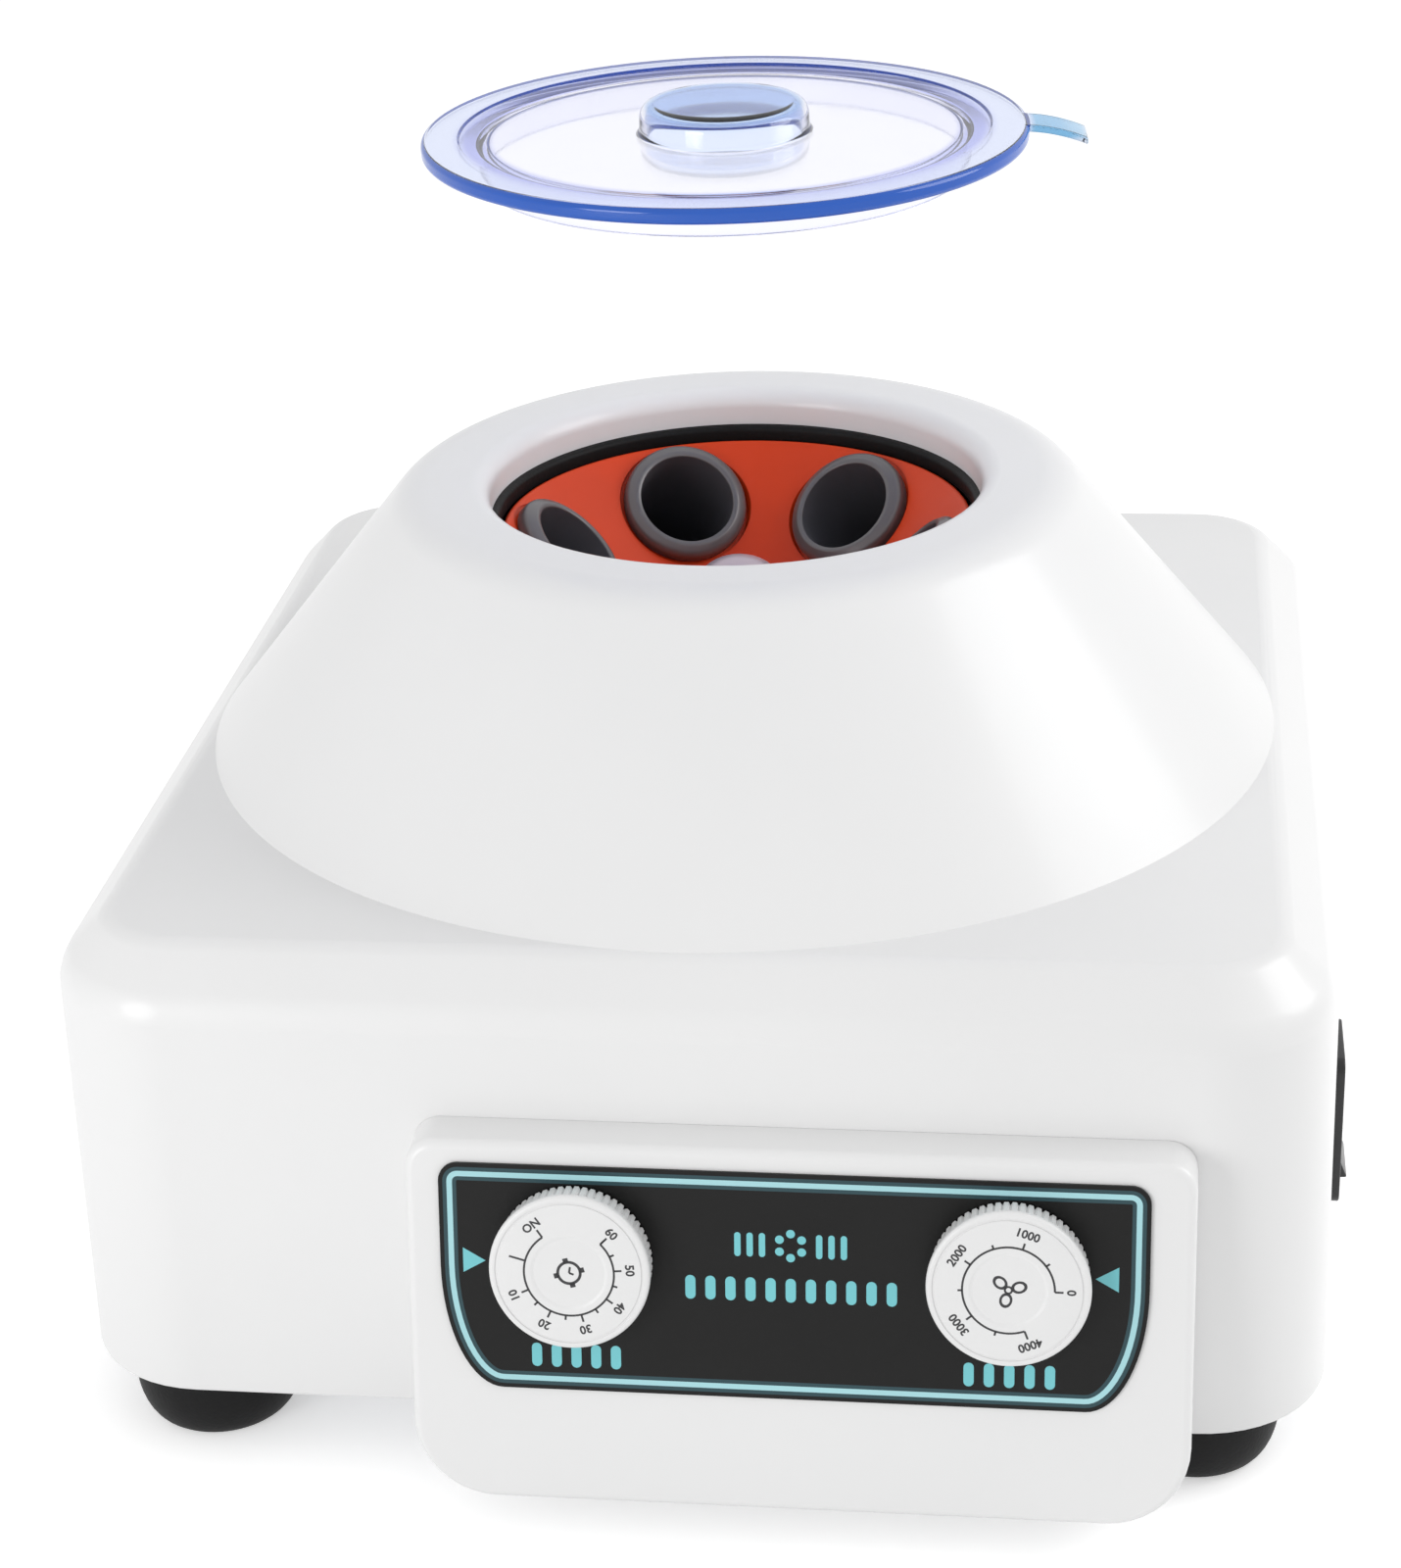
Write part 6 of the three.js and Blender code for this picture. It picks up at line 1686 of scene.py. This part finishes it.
class CENTRIFUGE_OT_base_fittings(PieceOperator, bpy.types.Operator):
    """Model the mains inlet, the base plate, the feet and the screws"""

    bl_idname = "centrifuge.base_fittings"
    bl_label = "Inlet, Base, Feet and Screws"

    def execute(self, context):
        s = context.scene.centrifuge_fittings
        inlet = eased(self.merged_copy("power_inlet", "mains_inlet"), 0.0004)
        dressed(inlet, "body", [switch_plastic(s.black)], ["power_inlet"])
        base = eased(self.merged_copy("base_plate", "base_sheet"), 0.0003)
        dressed(base, "body", [zinc_finish()], ["base_plate"])
        self.feet(s)
        self.screws(s)
        return {"FINISHED"}

    @staticmethod
    def merged_copy(name, piece):
        """A copy of a plain solid with whole faces in place of loose triangles."""
        twin = NODES[name].copy()
        twin.data = twin.data.copy()
        twin.parent = None
        twin.name = piece
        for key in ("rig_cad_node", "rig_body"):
            del twin[key]
        bpy.context.scene.collection.objects.link(twin)
        with editing(twin):
            merge_doubles(TOUCH)
            bpy.ops.mesh.dissolve_limited(angle_limit=math.radians(1))
        return twin

    @staticmethod
    def feet(s):
        """Bowl-shaped rubber feet, recessed from below."""
        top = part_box("foot_front_left")[1].z
        bulge_top = top - 0.0035
        recess, hole, depth = 0.0065, 0.0023, 0.007
        angles = [QUARTER * i / 10 for i in range(11)]
        swell = s.foot_top - s.foot_bottom
        bulge = [
            (s.foot_bottom + swell * math.sin(a), bulge_top * (1 - math.cos(a))) for a in angles
        ]
        section = [
            (recess, 0.0004),
            (recess + 0.0004, 0),
            *bulge,
            *softened([bulge[-1], (s.foot_top, top, 0.001), (hole, top)], 5, False)[1:-1],
            (hole, top),
            (hole, depth),
            (recess, depth),
        ]
        foot = spun("foot", section, 64, ORIGIN)
        places = {corner: moved(*middle_of(f"foot_{corner}")[:2]) for corner in FOOT_CORNERS}
        set_out(foot, "rubber_foot", "foot", places, black_rubber())

    def screws(self, s):
        """Screws under the feet and beside the inlet."""
        low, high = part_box("foot_screw_front_left")
        height = 0.0026
        under = self.screw(s.screw_head, height, 0.002, high.z - low.z - height)
        places = {}
        for corner in FOOT_CORNERS:
            places[corner] = moved(*middle_of(f"foot_{corner}")[:2], low.z + height)
        set_out(under, "foot_pan_screw", "foot_screw", places, zinc_finish())
        height = 0.0018
        side = self.screw(s.side_head, height, 0.0016, 0.007)
        places = {}
        for end in ("left", "right"):
            x, _, z = middle_of(f"inlet_screw_{end}")
            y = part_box(f"inlet_screw_{end}")[1].y - height
            places[end] = moved(x, y, z) @ turned(QUARTER, "X")
        set_out(side, "inlet_pan_screw", "inlet_screw", places, zinc_finish())

    @staticmethod
    def screw(head, height, shank, reach):
        """A pan-head screw with a cross recess."""
        section = [
            (0, -height),
            (head * 0.72, -height, head * 0.2),
            (head, -height / 2, head * 0.2),
            (head, 0, head * 0.05),
            (shank, 0),
            (shank, reach),
            (0, reach),
        ]
        made = spun("screw", softened(section, 5, False), 40, ORIGIN, closed=False)
        arm, half = head * 0.55, head * 0.1
        below, floor = -height * 1.2, -height / 2
        for x, y in ((arm, half), (half, arm)):
            cut(made, cube("bar", (-x, -y, below), (x, y, floor)))
        return made


class CENTRIFUGE_OT_inner_finishes(PieceOperator, bpy.types.Operator):
    """Give the frame's own inner pieces their finishes"""

    bl_idname = "centrifuge.inner_finishes"
    bl_label = "Inner Finishes"

    def execute(self, context):
        bright = {"grain": 1800.0, "Metallic": 0.95}
        steel = finish("bearing_steel", linear(180, 182, 186), 0.28, **bright)
        brass = finish("turned_brass", linear(201, 165, 82), 0.32, grain=1500.0, Metallic=0.95)
        case = finish("timer_case", linear(216, 210, 192), 0.5)
        lacquer = {"tone_shift": 0.15, "tone_scale": 120.0}
        board = finish("board_lacquer", linear(44, 106, 62), 0.45, **lacquer)
        pillars = [f"bowl_pillar_{corner}" for corner in FOOT_CORNERS]
        screws = ["housing_screw_left", "housing_screw_right"]
        finishes = {
            zinc_finish(): [*screws, "speed_potentiometer", "motor_plate", *pillars],
            steel: ["motor_bearing_upper", "motor_bearing_lower", "motor_shaft"],
            dark_paint(): ["motor_can"],
            black_rubber(): [f"motor_damper_{i}" for i in (1, 2, 3)],
            brass: ["timer_nut", "speed_nut", "timer_shaft", "speed_shaft"],
            case: ["timer_unit"],
            board: ["control_board"],
        }
        for material, names in finishes.items():
            for name in names:
                NODES[name].data.materials.clear()
                NODES[name].data.materials.append(material)
        return {"FINISHED"}


class CENTRIFUGE_OT_stage(PieceOperator, bpy.types.Operator):
    """Make the camera, the pale floor and the soft light"""

    bl_idname = "centrifuge.stage"
    bl_label = "Stage"

    def execute(self, context):
        s = context.scene.centrifuge_stage
        context.scene.view_settings.view_transform = "Standard"
        self.camera(s)
        self.floor(s)
        self.sky(s)
        for name, (place, target, size) in LAMPS.items():
            self.lamp(name, place, target, size, getattr(s, name))
        return {"FINISHED"}

    @staticmethod
    def placed(name, data, place):
        """A camera or a lamp, linked and set at its place."""
        made = bpy.data.objects.new(name, data)
        bpy.context.scene.collection.objects.link(made)
        made.matrix_world = place
        return made

    def camera(self, s):
        """The camera at the place from which the object was seen."""
        data = bpy.data.cameras.new("camera")
        data.lens = s.lens
        data.sensor_width = SENSOR
        data.clip_start, data.clip_end = 0.01, 50
        along = CAMERA_RIGHT.dot(CAMERA_FORWARD)
        right = (CAMERA_RIGHT - CAMERA_FORWARD * along).normalized()
        up = right.cross(CAMERA_FORWARD)
        place = frame_matrix(CAMERA_PLACE, right, up, -CAMERA_FORWARD)
        bpy.context.scene.camera = self.placed("camera", data, place)

    def lamp(self, name, place, target, size, power):
        """A round soft lamp that the camera doesn't see."""
        data = bpy.data.lights.new(name, "AREA")
        data.shape, data.size, data.energy = "DISK", size, power
        aim = (Vector(target) - Vector(place)).to_track_quat("-Z", "Y")
        lamp = self.placed(name, data, moved(*place) @ aim.to_matrix().to_4x4())
        lamp.visible_camera = False

    @staticmethod
    def seen_directly(tree):
        """1 for rays that the camera, a gloss or clear plastic sends out, else 0."""
        path = node(tree, "LightPath").outputs
        first = sum_of(tree, "MAXIMUM", path["Is Camera Ray"], path["Is Glossy Ray"])
        return sum_of(tree, "MAXIMUM", first, path["Is Transmission Ray"])

    def floor(self, s):
        """A wide pale floor that keeps the shadow and is as white as the backdrop."""
        plane = start("floor", bpy.ops.mesh.primitive_plane_add, size=12, location=ORIGIN)
        material, tree, surface = new_material("floor_paper")
        matt = {"Base Color": (*s.floor, 1.0), "Roughness": 0.9, "Specular IOR Level": 0.0}
        paper = node(tree, "BsdfPrincipled", matt).outputs["BSDF"]
        glow = sum_of(tree, "MULTIPLY", self.seen_directly(tree), s.lift)
        lift = node(tree, "Emission", {"Color": WHITE, "Strength": glow}).outputs["Emission"]
        both = node(tree, "AddShader", {0: paper, 1: lift})
        tree.links.new(both.outputs["Shader"], surface)
        plane.data.materials.append(material)

    def sky(self, s):
        """Even light all round, seen as plain white."""
        world = bpy.data.worlds.new("studio")
        bpy.context.scene.world = world
        world.use_nodes = True
        tree = world.node_tree
        tree.nodes.clear()
        out = tree.nodes.new("ShaderNodeOutputWorld")
        power = mapped(tree, self.seen_directly(tree), To_Min=s.sky, To_Max=1.0)
        light = node(tree, "Background", {"Color": WHITE, "Strength": power})
        tree.links.new(light.outputs["Background"], out.inputs["Surface"])


OPERATORS = (
    CENTRIFUGE_OT_shell,
    CENTRIFUGE_OT_panel_housing,
    CENTRIFUGE_OT_label,
    CENTRIFUGE_OT_dials,
    CENTRIFUGE_OT_rotor_dish,
    CENTRIFUGE_OT_sleeves,
    CENTRIFUGE_OT_spindle_nut,
    CENTRIFUGE_OT_mouth_trim,
    CENTRIFUGE_OT_lid,
    CENTRIFUGE_OT_power_switch,
    CENTRIFUGE_OT_base_fittings,
    CENTRIFUGE_OT_inner_finishes,
    CENTRIFUGE_OT_stage,
)


class CENTRIFUGE_PT_pieces(bpy.types.Panel):
    """Buttons for each step and the settings behind them"""

    bl_label = "Centrifuge"
    bl_idname = "CENTRIFUGE_PT_pieces"
    bl_space_type = "VIEW_3D"
    bl_region_type = "UI"
    bl_category = "Centrifuge"

    def draw(self, context):
        for operator in OPERATORS:
            self.layout.operator(operator.bl_idname)
        for key, group in SETTINGS.items():
            box = self.layout.box()
            box.label(text=group.__name__.replace("Settings", ""))
            for name in group.__annotations__:
                box.prop(getattr(context.scene, key), name)


def register():
    """Make the operators, the settings and the panel known."""
    for known in (*SETTINGS.values(), *OPERATORS, CENTRIFUGE_PT_pieces):
        bpy.utils.register_class(known)
    for key, group in SETTINGS.items():
        setattr(bpy.types.Scene, key, PointerProperty(type=group))


def unregister():
    """Take them away again."""
    for key in SETTINGS:
        delattr(bpy.types.Scene, key)
    for known in (CENTRIFUGE_PT_pieces, *reversed(OPERATORS), *SETTINGS.values()):
        bpy.utils.unregister_class(known)


def main():
    """Build every piece in order."""
    register()
    for operator in OPERATORS:
        family, name = operator.bl_idname.split(".")
        getattr(getattr(bpy.ops, family), name)()


if __name__ == "__main__":
    main()
